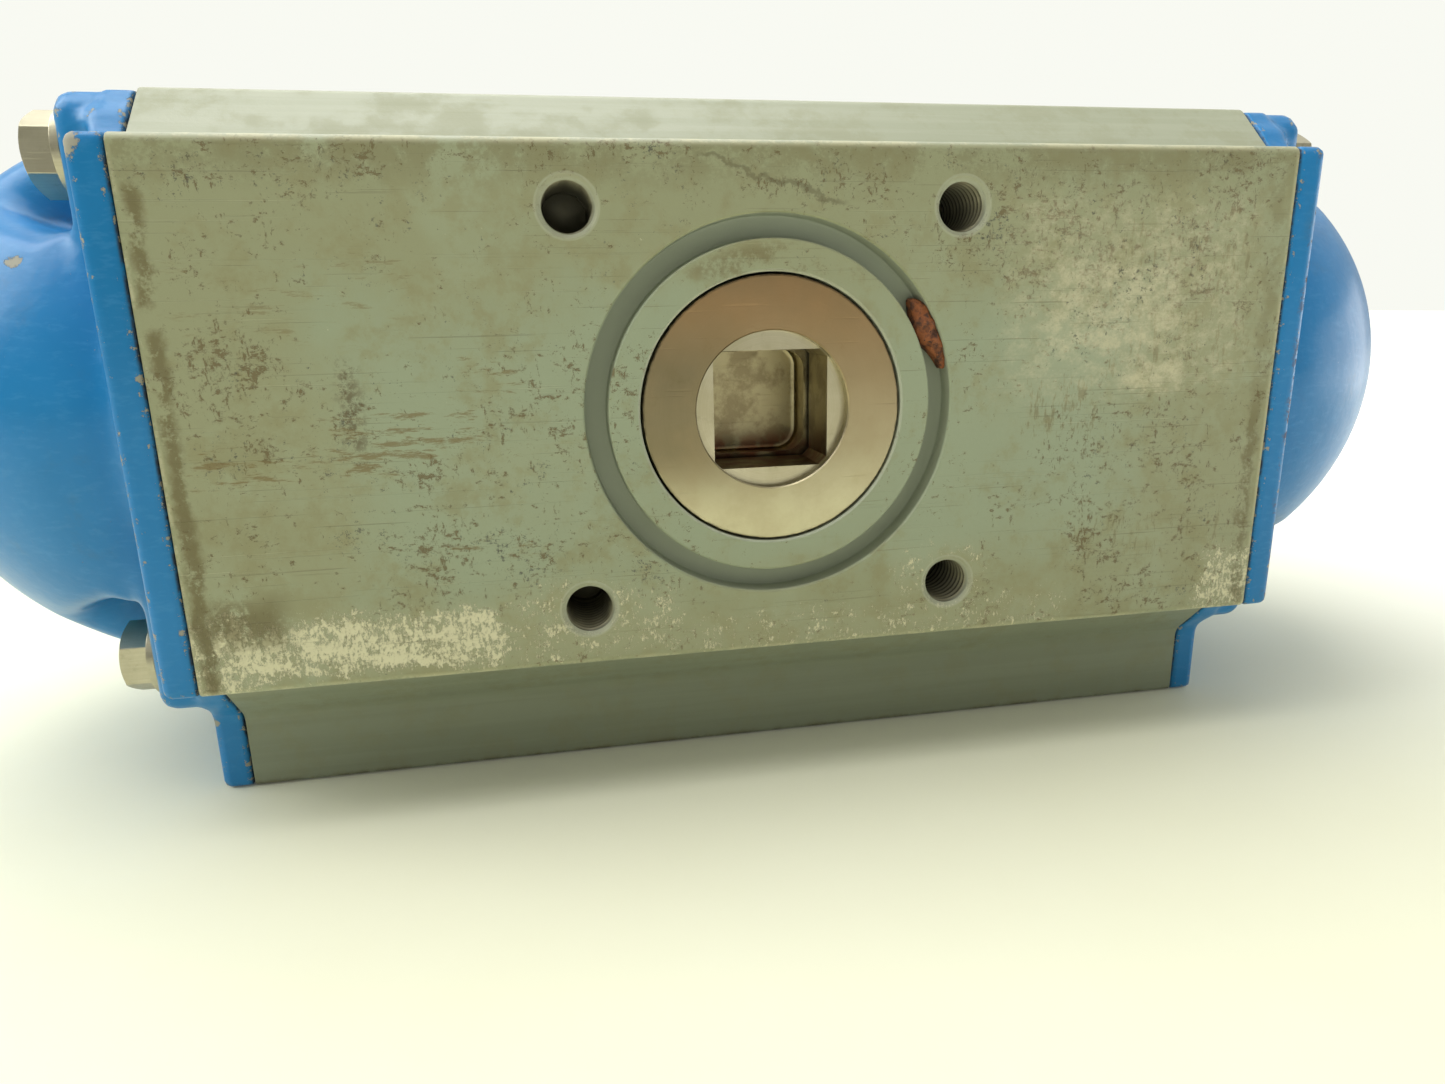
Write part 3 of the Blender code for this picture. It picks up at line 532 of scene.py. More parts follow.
# ---- shaft --------------------------------------------------------------------------------
def gear_outline(shrink=0.0):
    """Involute pinion with one tooth centred on +Z; shrink thins the teeth."""
    base = PITCH_R * cos(PRESSURE)
    tip, root = PITCH_R + 0.8 * MODULE, PITCH_R - MODULE
    involute = tan(PRESSURE) - PRESSURE
    half_tooth = (pi * MODULE / 2 - 0.35 - shrink) / (2 * PITCH_R)
    flank = [(root, half_tooth + involute + 0.012), (root + 0.35, half_tooth + involute)]
    for i in range(7):
        r = base + 0.2 + (tip - base - 0.2) * i / 6
        roll = sqrt((r / base) ** 2 - 1)
        flank.append((r, half_tooth + involute - (roll - atan2(roll, 1))))
    points = []
    for tooth in range(TEETH):
        middle = pi / 2 - tooth * 2 * pi / TEETH
        for r, a in flank:
            points.append((r * cos(middle + a), r * sin(middle + a)))
        for r, a in reversed(flank):
            points.append((r * cos(middle - a), r * sin(middle - a)))
    return points[::-1]


def socket_tool():
    """Cutter for the drive: round mouth, broached square, relief line and drilled end."""
    turn = degrees(atan2(sqrt(MOUTH ** 2 - SQUARE_HALF ** 2), SQUARE_HALF))

    def square(half, reach):
        points = []
        edge = degrees(atan2(sqrt(max(reach ** 2 - half ** 2, 0.01)), half))
        for quarter in range(4):
            for k in range(6):
                a = radians(quarter * 90 + edge + (90 - 2 * edge) * k / 5)
                points.append((reach * cos(a), reach * sin(a)))
        return points

    broached = prism(square(SQUARE_HALF, MOUTH - 0.05), MOUTH_DEPTH - 0.5, 15.2)
    relief = prism(square(SQUARE_HALF + 0.35, MOUTH + 0.3), 14.9, 15.6)
    end = prism(soften([(-10.9, -10.9), (10.9, -10.9), (10.9, 10.9), (-10.9, 10.9)], 4.5, 6),
                15.4, 24.6, 1.2)
    point = turned([(0, 24.3), (4.6, 24.3), (0, 25.5)], 48)
    mouth = turned([(0, -1), (MOUTH + 1.25, -1), (MOUTH, 0.25), (MOUTH, MOUTH_DEPTH),
                    (0, MOUTH_DEPTH)], 128)
    return union(mouth, broached, relief, end, point)


def rust_mesh():
    """Lens of rust filling the groove on one side, lumpy on top."""
    points, faces = [], []
    along, across = 40, 12
    for i in range(along + 1):
        share = i / along
        angle = radians(11 + 25 * share)
        swell = (sin(pi * share) * (0.55 + 0.65 * share)) ** 0.8
        for j in range(across + 1):
            over = j / across
            lean = 33.3 + 1.2 * (1 - share) * (1 - share) + 0.3 * sin(9 * share)
            half = 0.25 + 2.25 * swell
            r = lean + half * (2 * over - 1)
            lump = 0.35 * sin(23 * share + 4 * over) + 0.25 * sin(41 * share - 9 * over)
            y = -FACE + 1.5 - 1.75 * swell * (sin(pi * over) ** 0.7) + lump * swell * 0.7
            points.append((r * cos(angle), y, r * sin(angle)))
    width = across + 1
    for i in range(along):
        for j in range(across):
            a = i * width + j
            faces.append((a, a + 1, a + width + 1, a + width))
    count = len(points)
    points += [(x, -FACE + 3.6, z) for x, y, z in points]
    faces += [tuple(count + k for k in reversed(f)) for f in faces]
    ring = [j for j in range(width)] + [i * width + across for i in range(1, along + 1)]
    ring += [along * width + j for j in range(across - 1, -1, -1)]
    ring += [i * width for i in range(along - 1, 0, -1)]
    for k, a in enumerate(ring):
        b = ring[(k + 1) % len(ring)]
        faces.append((b, a, count + a, count + b))
    return draft(points, faces)


def shaft_mesh():
    """Pinion shaft along +Y, its drive end just inside the mounting face."""
    profile = [
        (0, 88.0), (9.9, 88.0), (10.5, 87.4), (10.5, 73.2), (15.6, 73.0), (16, 72.6), (16, 69.6),
        (14.4, 69.6), (14.4, 68.0), (16, 68.0), (16, 62.6), (13.8, 62.6), (13.8, 59.4),
        (16, 59.4), (16, -29.0), (24.2, -29.0), (24.6, -29.4), (24.6, -59.4), (22.4, -59.4),
        (22.4, -62.6), (24.6, -62.6), (24.6, -65.3), (24.45, -65.58), (24.2, -65.7), (0, -65.7)]
    body = moved(turned(profile, 160), TO_Y)
    teeth = moved(prism([(u, -v) for u, v in gear_outline()][::-1], -20, 20, 0.4), TO_Y)
    outer, inner = sqrt(24.0 ** 2 - 14.0 ** 2), sqrt(15.9 ** 2 - 14.0 ** 2)
    first, last = atan2(14.0, outer), atan2(-outer, -14.0)
    cam = []
    for k in range(25):
        a = first + (last - first) * k / 24
        cam.append((24.0 * cos(a), 24.0 * sin(a)))
    low, high = atan2(-inner, -14.0), atan2(14.0, inner) - 2 * pi
    for k in range(25):
        a = low + (high - low) * k / 24
        cam.append((15.9 * cos(a), 15.9 * sin(a)))
    cam = [(u, -v) for u, v in cam]
    cam = moved(prism(cam, 31, 40, 0.3), TO_Y)
    tools = [outward(socket_tool(), face=-65.7)]
    tools.append(moved(turned([(0, 74), (2.9, 74), (2.9, 87.4), (3.6, 89), (0, 89)], 32), TO_Y))
    for sign in (-1, 1):
        flat = block((-15, 73.1, -5), (15, 88.9, 5), 0.2)
        tools.append(shift(flat, 0, 0, sign * 13.5))
    return carve(union(body, teeth, cam), *tools)


# ---- fasteners ----------------------------------------------------------------------------
def hexagon(across, turn=pi / 6):
    reach = across / sqrt(3)
    return [(reach * cos(turn + pi / 3 * k), reach * sin(turn + pi / 3 * k)) for k in range(6)]


def hex_blank(across, low, high, both=False):
    """Hexagon with its corners turned off at 30 degrees, at the top or at both ends."""
    reach = across / sqrt(3)
    flat = across / 2 - 0.25
    drop = (reach + 0.5 - flat) * tan(radians(28))
    profile = [(0, high), (flat, high), (reach + 0.5, high - drop)]
    profile += [(reach + 0.5, low + drop), (flat, low)] if both else [(reach + 0.5, low)]
    profile.append((0, low))
    return carve(prism(soften(hexagon(across), 0.25, 2), low, high), turned(profile, 96),
                 operation="INTERSECT")


def cap_bolt():
    """M8 hex bolt along +Z, its head resting on Z = 0."""
    head = hex_blank(13.0, 0.0, 5.3)
    face = cylinder(5.9, -0.2, 0.2, 64)
    shank = union(turned([(0, 1), (3.98, 1), (3.98, -14), (0, -14)], 48),
                  thread(3.4, 4.0, 1.25, -32.8, -13.5, 32))
    return union(head, face, shank)


def washer(inner, outer, low, high):
    return turned([(inner, low), (outer, low), (outer, high), (inner, high)], 72, 0.2)


def at_cap_bolt(mesh, side, y, z):
    """Puts a fastener drawn along +Z on a cap, its Z = 0 under the bolt head."""
    mesh = moved(mesh, TO_X)
    if side < 0:
        mesh = moved(mesh, MIRROR_X)
    return shift(mesh, side * 121.7, y, z)


def stop_screw_mesh():
    """Stop screw along Z: thread, cam tip and hexagon socket."""
    body = union(thread(3.3, 3.9, 1.25, 17, 67.6, 32),
                 turned([(0, 14.2), (2.7, 14.2), (3.3, 15), (3.3, 18), (0, 18)], 48),
                 turned([(0, 66), (3.3, 66), (3.3, 68.6), (3.0, 69), (0, 69)], 48))
    return carve(body, prism(hexagon(4.0), 64, 70))


# ---- pistons, springs and rings -----------------------------------------------------------
def ring(inner, outer, low, high, axis, edge=0.3, segments=96):
    """A turned ring with broken edges, drawn about Z and laid along axis."""
    profile = [(inner, low), (outer, low), (outer, high), (inner, high)]
    return moved(turned(profile, segments, edge), axis)


def piston_mesh():
    """The right piston: turned head with its grooves, arm, rack and pad pocket."""
    head = [(0, 60.5), (39.6, 60.5), (41, 65.5), (49.6, 65.5), (49.6, 64), (45.8, 64), (45.8, 60),
            (49.6, 60), (49.6, 57.3), (47.6, 57.3), (47.6, 51.3), (49.6, 51.3), (49.6, 48.5), (0, 48.5)]
    sharp = [0 if r < 1 else 0.3 for r, h in head]
    head = moved(turned(soften(head, sharp, 2), 128), TO_X)
    root, tip = PITCH_R + MODULE, PITCH_R - 0.8 * MODULE
    end = sqrt(49.2 ** 2 - 15.0 ** 2)
    arc = [(15.0 - 3.0 * i, sqrt(49.2 ** 2 - (15.0 - 3.0 * i) ** 2)) for i in range(11)]
    section = soften([(15.0, root)] + arc + [(-15.0, root)], [0.8, 0.8] + [0] * 9 + [0.8, 0.8], 2)
    arm = moved(prism(section, -46.2, 49.5, 0.6), TO_X)
    pitch, lean = pi * MODULE, tan(PRESSURE)
    half = (pitch / 2 - 0.35) / 2
    wide, thin = half + (MODULE + 1.0) * lean, half - 0.8 * MODULE * lean
    middle = -4.5 * pitch
    line = []
    for i in range(7):
        at = middle + i * pitch
        line += [(at - wide, root + 0.5), (at - thin, tip), (at + thin, tip), (at + wide, root + 0.5)]
    rounds = [0.5, 0.35, 0.35, 0.5] * 7
    rounds[0] = rounds[-1] = 0
    line = soften(line, rounds, 2, closed=False)
    line = [(line[0][0], root + 2.0)] + line + [(line[-1][0], root + 2.0)]
    rack = moved(prism(line, -14.8, 14.8, 0.3), Matrix.Rotation(pi / 2, 4, "X"))
    pocket = block((-38, -10, 45.7), (-14, 10, 52))
    return carve(union(head, arm, rack), pocket)


def pad_mesh():
    """Rack pad: fits its pocket, with the curve of the bore on its outer side."""
    return carve(block((-37.7, -9.7, 46), (-14.3, 9.7, 52)),
                 moved(cylinder(49.75, -60, 10, 160), TO_X), operation="INTERSECT")


def spring_mesh(mean, wire, start, end, turns):
    """Compression spring along X with closed, tightly wound ends."""
    low, high = start + wire, end - wire
    path, count = [], int(turns * 28)
    for i in range(count + 1):
        share = i / count
        turn = turns * share
        flat = 0.75
        # the end turns lie flat, the ones between share the rise
        eased = min(max((turn - flat) / (turns - 2 * flat), 0.0), 1.0)
        rise = 0.10 * share + 0.90 * (eased * eased * (3 - 2 * eased) * 0.35 + eased * 0.65)
        a = 2 * pi * turn
        path.append((low + (high - low) * rise, mean * cos(a), mean * sin(a)))
    return tube(path, wire, 12)


def retaining_ring_mesh():
    """Open ring with lugs and plier holes."""
    outer = [(19.0 * cos(radians(a)), 19.0 * sin(radians(a))) for a in range(-70, 251, 5)]
    inner = [(14.7 * cos(radians(a)), 14.7 * sin(radians(a))) for a in range(250, -71, -5)]
    body = prism(outer + inner, 68.3, 69.3, 0.12)
    lugs = [shift(cylinder(2.1, 68.3, 69.3, 32, 0.12), 17.6 * cos(radians(a)), 17.6 * sin(radians(a)))
            for a in (-68, 248)]
    holes = [shift(cylinder(0.9, 68, 70, 24), 17.6 * cos(radians(a)), 17.6 * sin(radians(a)))
             for a in (-68, 248)]
    return moved(moved(carve(union(body, *lugs), *holes), TO_Y), HALF_TURN)


def indicator_mesh():
    """Disc with a domed rim, a raised pointer bar and a recess for its screw."""
    profile = [(3.3, 91.5), (14.0, 91.5), (15.0, 79.0), (20.0, 78.0), (20.0, 73.3), (10.8, 73.3),
               (10.8, 88.3), (3.3, 88.3)]
    disc = turned(profile, 128, 0.6, 3)
    bar_on_disc = block((-2.5, 90.9, 6.2), (2.5, 92.5, 13.4), 0.3)
    return union(moved(disc, TO_Y), bar_on_disc)


def indicator_screw_mesh():
    head = turned([(0, 91.9), (5.1, 91.9), (5.1, 93.6), (3.6, 94.9), (0, 94.9)], 64, 0.25)
    head = carve(head, prism(hexagon(4.4), 92.9, 96))
    return moved(union(head, thread(2.2, 2.6, 0.8, 77.2, 92.2, 32)), TO_Y)


def plug_mesh():
    body = union(thread(2.7, 3.1, 0.8, 39.9, 44.6, 32),
                 turned([(0, 44.2), (2.9, 44.2), (2.9, 45.2), (0, 45.2)], 40, 0.15))
    return shift(moved(carve(body, prism(hexagon(2.6), 42.5, 46)), TO_Y), 12, 0, BASE_Z + 12.5)


# ---- looks --------------------------------------------------------------------------------
OLIVE = (0.275, 0.245, 0.112)
SOOT = (0.070, 0.070, 0.060)
CREAM = (0.790, 0.760, 0.520)


class Look:
    """A node material; self.place is the position in drafting millimetres."""

    def __init__(self, name, slot, rough=0.5, metal=0.0):
        self.slot = slot
        self.material = bpy.data.materials.new(name)
        self.material.use_nodes = True
        self.tree = self.material.node_tree
        self.shader = self.tree.nodes["Principled BSDF"]
        self.set("Roughness", rough)
        self.set("Metallic", metal)
        where = self.tree.nodes.new("ShaderNodeTexCoord").outputs["Object"]
        self.place = self.vector("MULTIPLY_ADD", where, (1000, 1000, 1000),
                                 (0, 0, -1000 * AXIS_Z))
        split = self.tree.nodes.new("ShaderNodeSeparateXYZ")
        self.feed(split.inputs[0], self.place)
        self.x, self.y, self.z = split.outputs

    def feed(self, socket, value):
        if isinstance(value, bpy.types.NodeSocket):
            self.tree.links.new(value, socket)
        elif isinstance(value, tuple) and len(value) == 3 and socket.type == "RGBA":
            socket.default_value = (*value, 1.0)
        else:
            socket.default_value = value

    def set(self, name, value):
        self.feed(self.shader.inputs[name], value)

    def vector(self, operation, *values):
        node = self.tree.nodes.new("ShaderNodeVectorMath")
        node.operation = operation
        for socket, value in zip(node.inputs, values):
            self.feed(socket, value)
        return node.outputs["Value" if operation in ("LENGTH", "DISTANCE") else 0]

    def math(self, operation, *values, clamp=False):
        node = self.tree.nodes.new("ShaderNodeMath")
        node.operation = operation
        node.use_clamp = clamp
        for socket, value in zip(node.inputs, values):
            self.feed(socket, value)
        return node.outputs[0]

    def add(self, *values):
        total = values[0]
        for value in values[1:]:
            total = self.math("ADD", total, value)
        return total

    def times(self, *values):
        total = values[0]
        for value in values[1:]:
            total = self.math("MULTIPLY", total, value)
        return total

    def most(self, *values):
        total = values[0]
        for value in values[1:]:
            total = self.math("MAXIMUM", total, value)
        return total

    def step(self, value, low, high, out_low=0.0, out_high=1.0):
        """Smooth step from low to high, which may run downwards."""
        node = self.tree.nodes.new("ShaderNodeMapRange")
        node.interpolation_type = "SMOOTHSTEP"
        for socket, number in zip(node.inputs, (value, low, high, out_low, out_high)):
            self.feed(socket, number)
        return node.outputs[0]

    def stretch(self, scale=(1, 1, 1), turn=(0, 0, 0), offset=(0, 0, 0)):
        node = self.tree.nodes.new("ShaderNodeMapping")
        self.feed(node.inputs["Vector"], self.place)
        node.inputs["Location"].default_value = offset
        node.inputs["Rotation"].default_value = turn
        node.inputs["Scale"].default_value = scale
        return node.outputs[0]

    def noise(self, scale, detail=4.0, rough=0.55, vector=None, distort=0.0):
        node = self.tree.nodes.new("ShaderNodeTexNoise")
        self.feed(node.inputs["Vector"], vector or self.place)
        for name, value in (("Scale", scale), ("Detail", detail), ("Roughness", rough),
                            ("Distortion", distort)):
            self.feed(node.inputs[name], value)
        return node.outputs[0]

    def cells(self, scale, vector=None, feature="F1"):
        node = self.tree.nodes.new("ShaderNodeTexVoronoi")
        node.feature = feature
        self.feed(node.inputs["Vector"], vector or self.place)
        self.feed(node.inputs["Scale"], scale)
        return node.outputs[0]

    def mix(self, share, a, b):
        node = self.tree.nodes.new("ShaderNodeMix")
        node.data_type = "RGBA"
        self.feed(node.inputs[0], share)
        self.feed(node.inputs[6], a)
        self.feed(node.inputs[7], b)
        return node.outputs[2]

    def blob(self, centre, size, soft=0.0):
        """1 at a place, falling to 0 at the edge of an ellipsoid of the given half sizes."""
        away = self.vector("SUBTRACT", self.place, centre)
        away = self.vector("MULTIPLY", away, tuple(1.0 / s for s in size))
        return self.step(self.vector("LENGTH", away), 1.0, soft)

    def patch(self, x0, x1, z0, z1, soft=3.0, wander=8.0):
        """1 inside a ragged rectangle on an XZ face."""
        share = 1.0
        for axis, low, high, shift_by in ((self.x, x0, x1, (0, 0, 0)), (self.z, z0, z1, (9, 5, 2))):
            drift = self.times(self.add(self.noise(0.09, 5, 0.65, self.stretch(offset=shift_by)), -0.5),
                               wander)
            axis = self.add(axis, drift)
            share = self.times(share, self.step(axis, low - soft, low + soft),
                               self.step(axis, high + soft, high - soft))
        return share

    def mark(self, name):
        node = self.tree.nodes.new("ShaderNodeAttribute")
        node.attribute_name = name
        return node.outputs["Fac"]

    def bump(self, height, distance=0.1, strength=1.0, after=None):
        node = self.tree.nodes.new("ShaderNodeBump")
        self.feed(node.inputs["Height"], height)
        node.inputs["Distance"].default_value = distance * MM
        node.inputs["Strength"].default_value = strength
        if after:
            self.feed(node.inputs["Normal"], after)
        return node.outputs[0]

    def scratches(self, angle, along, across, seed, low=0.66, high=0.72):
        """Thin straight marks on an XZ face, turned by angle from X."""
        vector = self.stretch((along, across, across), (0, radians(angle), 0),
                              (seed * 13.7, seed * 7.3, seed * 3.1))
        return self.step(self.noise(1.0, 2.0, 0.4, vector), low, high)


def housing_look():
    look = Look("grey_coat", "grey_coat")
    x, y, z = look.x, look.y, look.z
    face = look.step(y, -64.8, -65.9)
    ax, az = look.math("ABSOLUTE", x), look.math("ABSOLUTE", z)
    radius = look.math("SQRT", look.add(look.times(x, x), look.times(z, z)))
    cloud = look.noise(0.028, 5, 0.6)
    mid = look.noise(0.13, 7, 0.68)
    fine = look.noise(1.6, 4, 0.65)

    # the coat: cool sage, warmed by an old film towards the edges, streaked on the sides
    warm = look.most(look.step(z, 8, 44), look.step(ax, 62, 102), look.step(z, -20, -44, 0, 0.7))
    warm = look.step(look.add(warm, look.times(cloud, 1.6), look.times(mid, 0.7)), 1.0, 1.75)
    coat = look.mix(warm, (0.345, 0.398, 0.268), (0.330, 0.345, 0.205))
    coat = look.mix(look.times(look.step(cloud, 0.52, 0.66), 0.6), coat, (0.362, 0.402, 0.262))
    streak = look.noise(1.0, 4, 0.6, look.stretch((0.010, 0.40, 0.40)))
    side = look.mix(look.step(streak, 0.38, 0.62), (0.372, 0.398, 0.282), (0.402, 0.428, 0.312))
    # painted shade: below the pad and towards the front, the slope and walls get a darker copy of the side colour
    under = look.times(look.step(z, -46.5, -50), look.step(y, -20, -40))
    side = look.mix(under, side, look.mix(look.step(streak, 0.38, 0.62), (0.250, 0.280, 0.197),
                                          (0.270, 0.300, 0.213)))
    colour = look.mix(face, side, coat)

    # brown film patches, specks in clusters and a few soot marks
    film = look.step(look.add(mid, look.times(cloud, 0.45), look.times(warm, 0.06)), 0.74, 0.94)
    colour = look.mix(look.times(film, look.add(look.times(face, 0.20), 0.16)), colour, OLIVE)
    cluster = look.noise(0.055, 6, 0.68, look.stretch(offset=(40, 0, 9)))
    busy = look.most(look.patch(-97, -86, 6, 16), look.patch(-70, -60, -14, -6),
                     look.patch(-62, -54, -25, -20), look.times(look.patch(30, 62, 26, 46), 0.9),
                     look.times(look.patch(-100, -20, -12, 14), 0.5),
                     look.times(look.patch(-104, 104, 38, 47), 0.55),
                     look.times(look.patch(64, 104, -46, 44), 0.55), look.times(look.patch(44, 100, 4, 40), 0.75),
                     look.times(look.patch(-80, -20, -35, -18), 0.5))
    crowd = look.add(look.times(look.add(cluster, -0.5), 0.35), look.times(busy, 0.055))
    dash = look.noise(1.0, 8, 0.80, look.stretch((0.42, 0.4, 0.70), (0, -0.18, 0)))
    dash = look.step(look.add(dash, crowd), 0.615, 0.655)
    tick = look.noise(1.0, 8, 0.78, look.stretch((0.95, 0.4, 0.42), (0, 0.3, 0), (7, 0, 31)))
    tick = look.step(look.add(tick, crowd), 0.630, 0.668)
    speck = look.times(look.most(dash, tick), look.add(look.times(face, 0.82), 0.04))
    colour = look.mix(speck, colour, (0.165, 0.125, 0.055))
    dark = look.noise(0.9, 8, 0.80, look.stretch(offset=(3, 1, 5)))
    dark = look.add(dark, look.times(look.add(look.noise(0.07, 5, 0.65), -0.5), 0.4), look.times(busy, 0.05))
    dark = look.step(dark, 0.645, 0.680)
    colour = look.mix(look.times(dark, face, 0.75), colour, SOOT)

    # brown strokes and a dark stain on the left half, a dark streak above the groove
    drag = look.noise(1.0, 8, 0.78, look.stretch((0.11, 0.8, 0.75), (0, 0.14, 0)))
    strokes = look.most(look.patch(-80, -60, -8, 2), look.times(look.patch(-103, -80, -10, -3), 0.8),
                        look.times(look.patch(-60, -46, -6, 12), 0.5),
                        look.times(look.patch(-104, -60, 14, 30), 0.3),
                        look.times(look.patch(-62, -44, -26, -20), 0.6))
    drag = look.times(look.step(look.add(drag, look.times(strokes, 0.11)), 0.605, 0.665),
                      look.step(strokes, 0.02, 0.5), face)
    colour = look.mix(look.times(drag, 0.72), colour, (0.205, 0.150, 0.055))
    slant = look.noise(1.0, 8, 0.78, look.stretch((0.70, 0.8, 0.16), (0, 0.62, 0), (3, 0, 8)))
    smudge = look.most(look.patch(50, 66, -8, 4), look.times(look.patch(66, 100, 4, 34), 0.7),
                       look.times(look.patch(60, 100, -34, -24), 0.6))
    slant = look.times(look.step(look.add(slant, look.times(smudge, 0.10)), 0.600, 0.680),
                       look.step(smudge, 0.02, 0.5), face)
    colour = look.mix(look.times(slant, 0.60), colour, (0.215, 0.180, 0.080))
    stem = look.patch(-76.5, -73.5, -4, 11, 1.4, 7.0)
    stem = look.times(stem, look.step(look.noise(0.6, 7, 0.78), 0.44, 0.58), face)
    colour = look.mix(look.times(stem, 0.72), colour, (0.115, 0.085, 0.040))
    crack = look.math("ABSOLUTE", look.add(look.times(x, 0.30), z, -40.5, look.times(look.add(mid, -0.5), 9)))
    crack = look.times(look.step(crack, 0.8, 0.2), look.patch(-13, 13, 34, 46, 1.5, 2), face)
    colour = look.mix(look.times(crack, 0.55), colour, (0.130, 0.115, 0.060))

    # pale rubbed patches: fibrous below, hazy on the right
    low = look.most(look.patch(-104, -52, -45.5, -34), look.times(look.patch(-108, -94, -50, -31), 0.75),
                    look.times(look.patch(-52, -18, -46, -32), 0.5),
                    look.times(look.patch(-18, 62, -49, -39), 0.42),
                    look.times(look.patch(94, 108, -50, -33), 0.80),
                    look.times(look.patch(24, 44, -40, -28), 0.40))
    high = look.most(look.times(look.patch(54, 84, 9, 27), 0.85), look.patch(71, 86, 0, 8),
                     look.times(look.patch(39, 58, -3, 9), 0.25),
                     look.times(look.patch(44, 100, -2, 40, 8), 0.55))
    fibre = look.add(look.times(look.noise(1.0, 8, 0.85, look.stretch((1.5, 0.8, 0.65), (0, 0.12, 0))), 0.55),
                     look.times(look.noise(0.22, 8, 0.82, look.stretch((1.0, 1.0, 1.4), (0, 0, 0), (5, 2, 8))), 0.45))
    pale = look.times(look.step(look.add(fibre, look.times(low, 0.115)), 0.580, 0.612),
                      look.step(low, 0.04, 0.22), face)
    haze = look.noise(0.30, 8, 0.80, look.stretch((1.0, 1.0, 1.3), (0, -0.6, 0)))
    soft = look.step(look.add(haze, look.times(high, 0.14)), 0.50, 0.76)
    soft = look.times(look.add(look.times(soft, 0.62), look.times(high, 0.22)),
                      look.step(high, 0.03, 0.75), face)
    soft = look.times(soft, look.math("SUBTRACT", 1.0, look.times(dark, 0.9)))
    colour = look.mix(look.times(low, face, 0.12), colour, CREAM)
    colour = look.mix(look.times(pale, 0.88), colour, CREAM)
    colour = look.mix(soft, colour, (0.640, 0.610, 0.410))
    chip = look.noise(0.8, 8, 0.80, look.stretch(offset=(17, 3, 1)))
    chip = look.step(look.add(chip, look.times(look.add(cluster, -0.5), -0.3)), 0.700, 0.720)
    colour = look.mix(look.times(chip, face, 0.8), colour, CREAM)

    # fine scratches, pale and dark
    light = look.most(look.scratches(8, 0.010, 2.6, 2, 0.700, 0.725),
                      look.scratches(-38, 0.018, 2.4, 3, 0.715, 0.745),
                      look.scratches(72, 0.014, 2.6, 4, 0.715, 0.745))
    cut = look.most(look.scratches(80, 0.025, 2.6, 5, 0.705, 0.735),
                    look.scratches(-14, 0.020, 2.6, 6, 0.71, 0.74))
    colour = look.mix(look.times(light, face, look.step(cluster, 0.48, 0.64), 0.16), colour, CREAM)
    colour = look.mix(look.times(cut, face, look.step(cluster, 0.62, 0.45), 0.30), colour, (0.170, 0.140, 0.070))

    # olive smears along both ends of the pad and under its top edge
    wander = look.times(look.add(look.noise(0.16, 6, 0.7), -0.5), 7)
    left = look.step(look.math("ABSOLUTE", look.add(x, 103.4, look.times(wander, 0.7))), 2.3, 0.4)
    left = look.times(left, look.step(look.math("ABSOLUTE", look.add(z, -19, wander)), 1.0, 3.5),
                      look.step(z, 41, 38))
    right = look.step(look.math("ABSOLUTE", look.add(x, -102.8, wander)), 2.4, 0.8)
    right = look.times(right, look.step(z, 2, -8, 0.35, 1.0))
    upper = look.times(look.step(look.add(z, wander), 37, 45), 0.38)
    corner = look.times(look.patch(-104, -90, -38, -30, 3, 6), 0.9)
    smear = look.times(look.most(left, look.times(right, 0.8), upper, corner), face,
                       look.step(look.add(mid, look.times(fine, 0.45), look.times(left, 0.05)), 0.60, 0.76))
    colour = look.mix(look.times(smear, 0.85), colour, (0.165, 0.140, 0.058))

    # worn edges of the pad, bright hole rims, threads and the clean groove
    edge = look.most(look.step(ax, 104.9, 105.7), look.step(az, 45.8, 46.9))
    edge = look.times(edge, look.step(y, -58.5, -64.0))
    chew = look.step(look.add(look.times(fine, 0.4), mid), 0.60, 0.80)
    colour = look.mix(look.times(edge, chew, 0.38), colour, CREAM)
    front = look.step(y, -30, -40)
    hole = look.vector("DISTANCE", look.vector("ABSOLUTE", look.place), (HOLE, FACE, HOLE))
    rim = look.times(look.step(hole, 5.8, 5.5), front, 0.4)
    colour = look.mix(rim, colour, (0.500, 0.520, 0.400))
    within = look.most(look.math("ABSOLUTE", look.add(ax, -HOLE)),
                       look.math("ABSOLUTE", look.add(az, -HOLE)))
    deep = look.times(look.step(within, 5.3, 5.0), look.step(y, -65.2, -64.4),
                      look.step(y, -40, -42))
    across = look.vector("LENGTH", look.vector("SUBTRACT", look.vector("MULTIPLY", look.vector(
        "ABSOLUTE", look.place), (1, 0, 1)), (HOLE, 0, HOLE)))
    colour = look.mix(deep, colour, look.mix(look.step(across, 4.35, 4.80), (0.330, 0.310, 0.210),
                                             (0.060, 0.055, 0.035)))
    groove = look.times(look.step(radius, 30.6, 30.9), look.step(radius, 35.2, 34.9),
                        look.step(y, -65.9, -65.4), front)
    colour = look.mix(groove, colour, (0.310, 0.345, 0.258))
    lip = look.times(look.step(radius, 24.2, 24.8), look.step(radius, 25.6, 25.2), front)
    colour = look.mix(look.times(lip, 0.5), colour, (0.520, 0.540, 0.430))
    grime = look.times(look.step(radius, 30.9, 28.5), look.patch(-26, 26, 24, 31, 2.5, 3), face,
                       look.step(look.add(mid, look.times(fine, 0.3)), 0.62, 0.76))
    colour = look.mix(look.times(grime, 0.7), colour, (0.205, 0.180, 0.085))
    joint = look.times(look.step(ax, 105.60, 105.95), look.step(y, -66.2, -65.9, 1.0, 0.25))
    colour = look.mix(look.times(joint, 0.8), colour, (0.075, 0.055, 0.030))
    ground = look.times(look.step(z, -73.8, -75.3), look.step(mid, 0.40, 0.60), 0.6)
    colour = look.mix(ground, colour, (0.120, 0.100, 0.050))

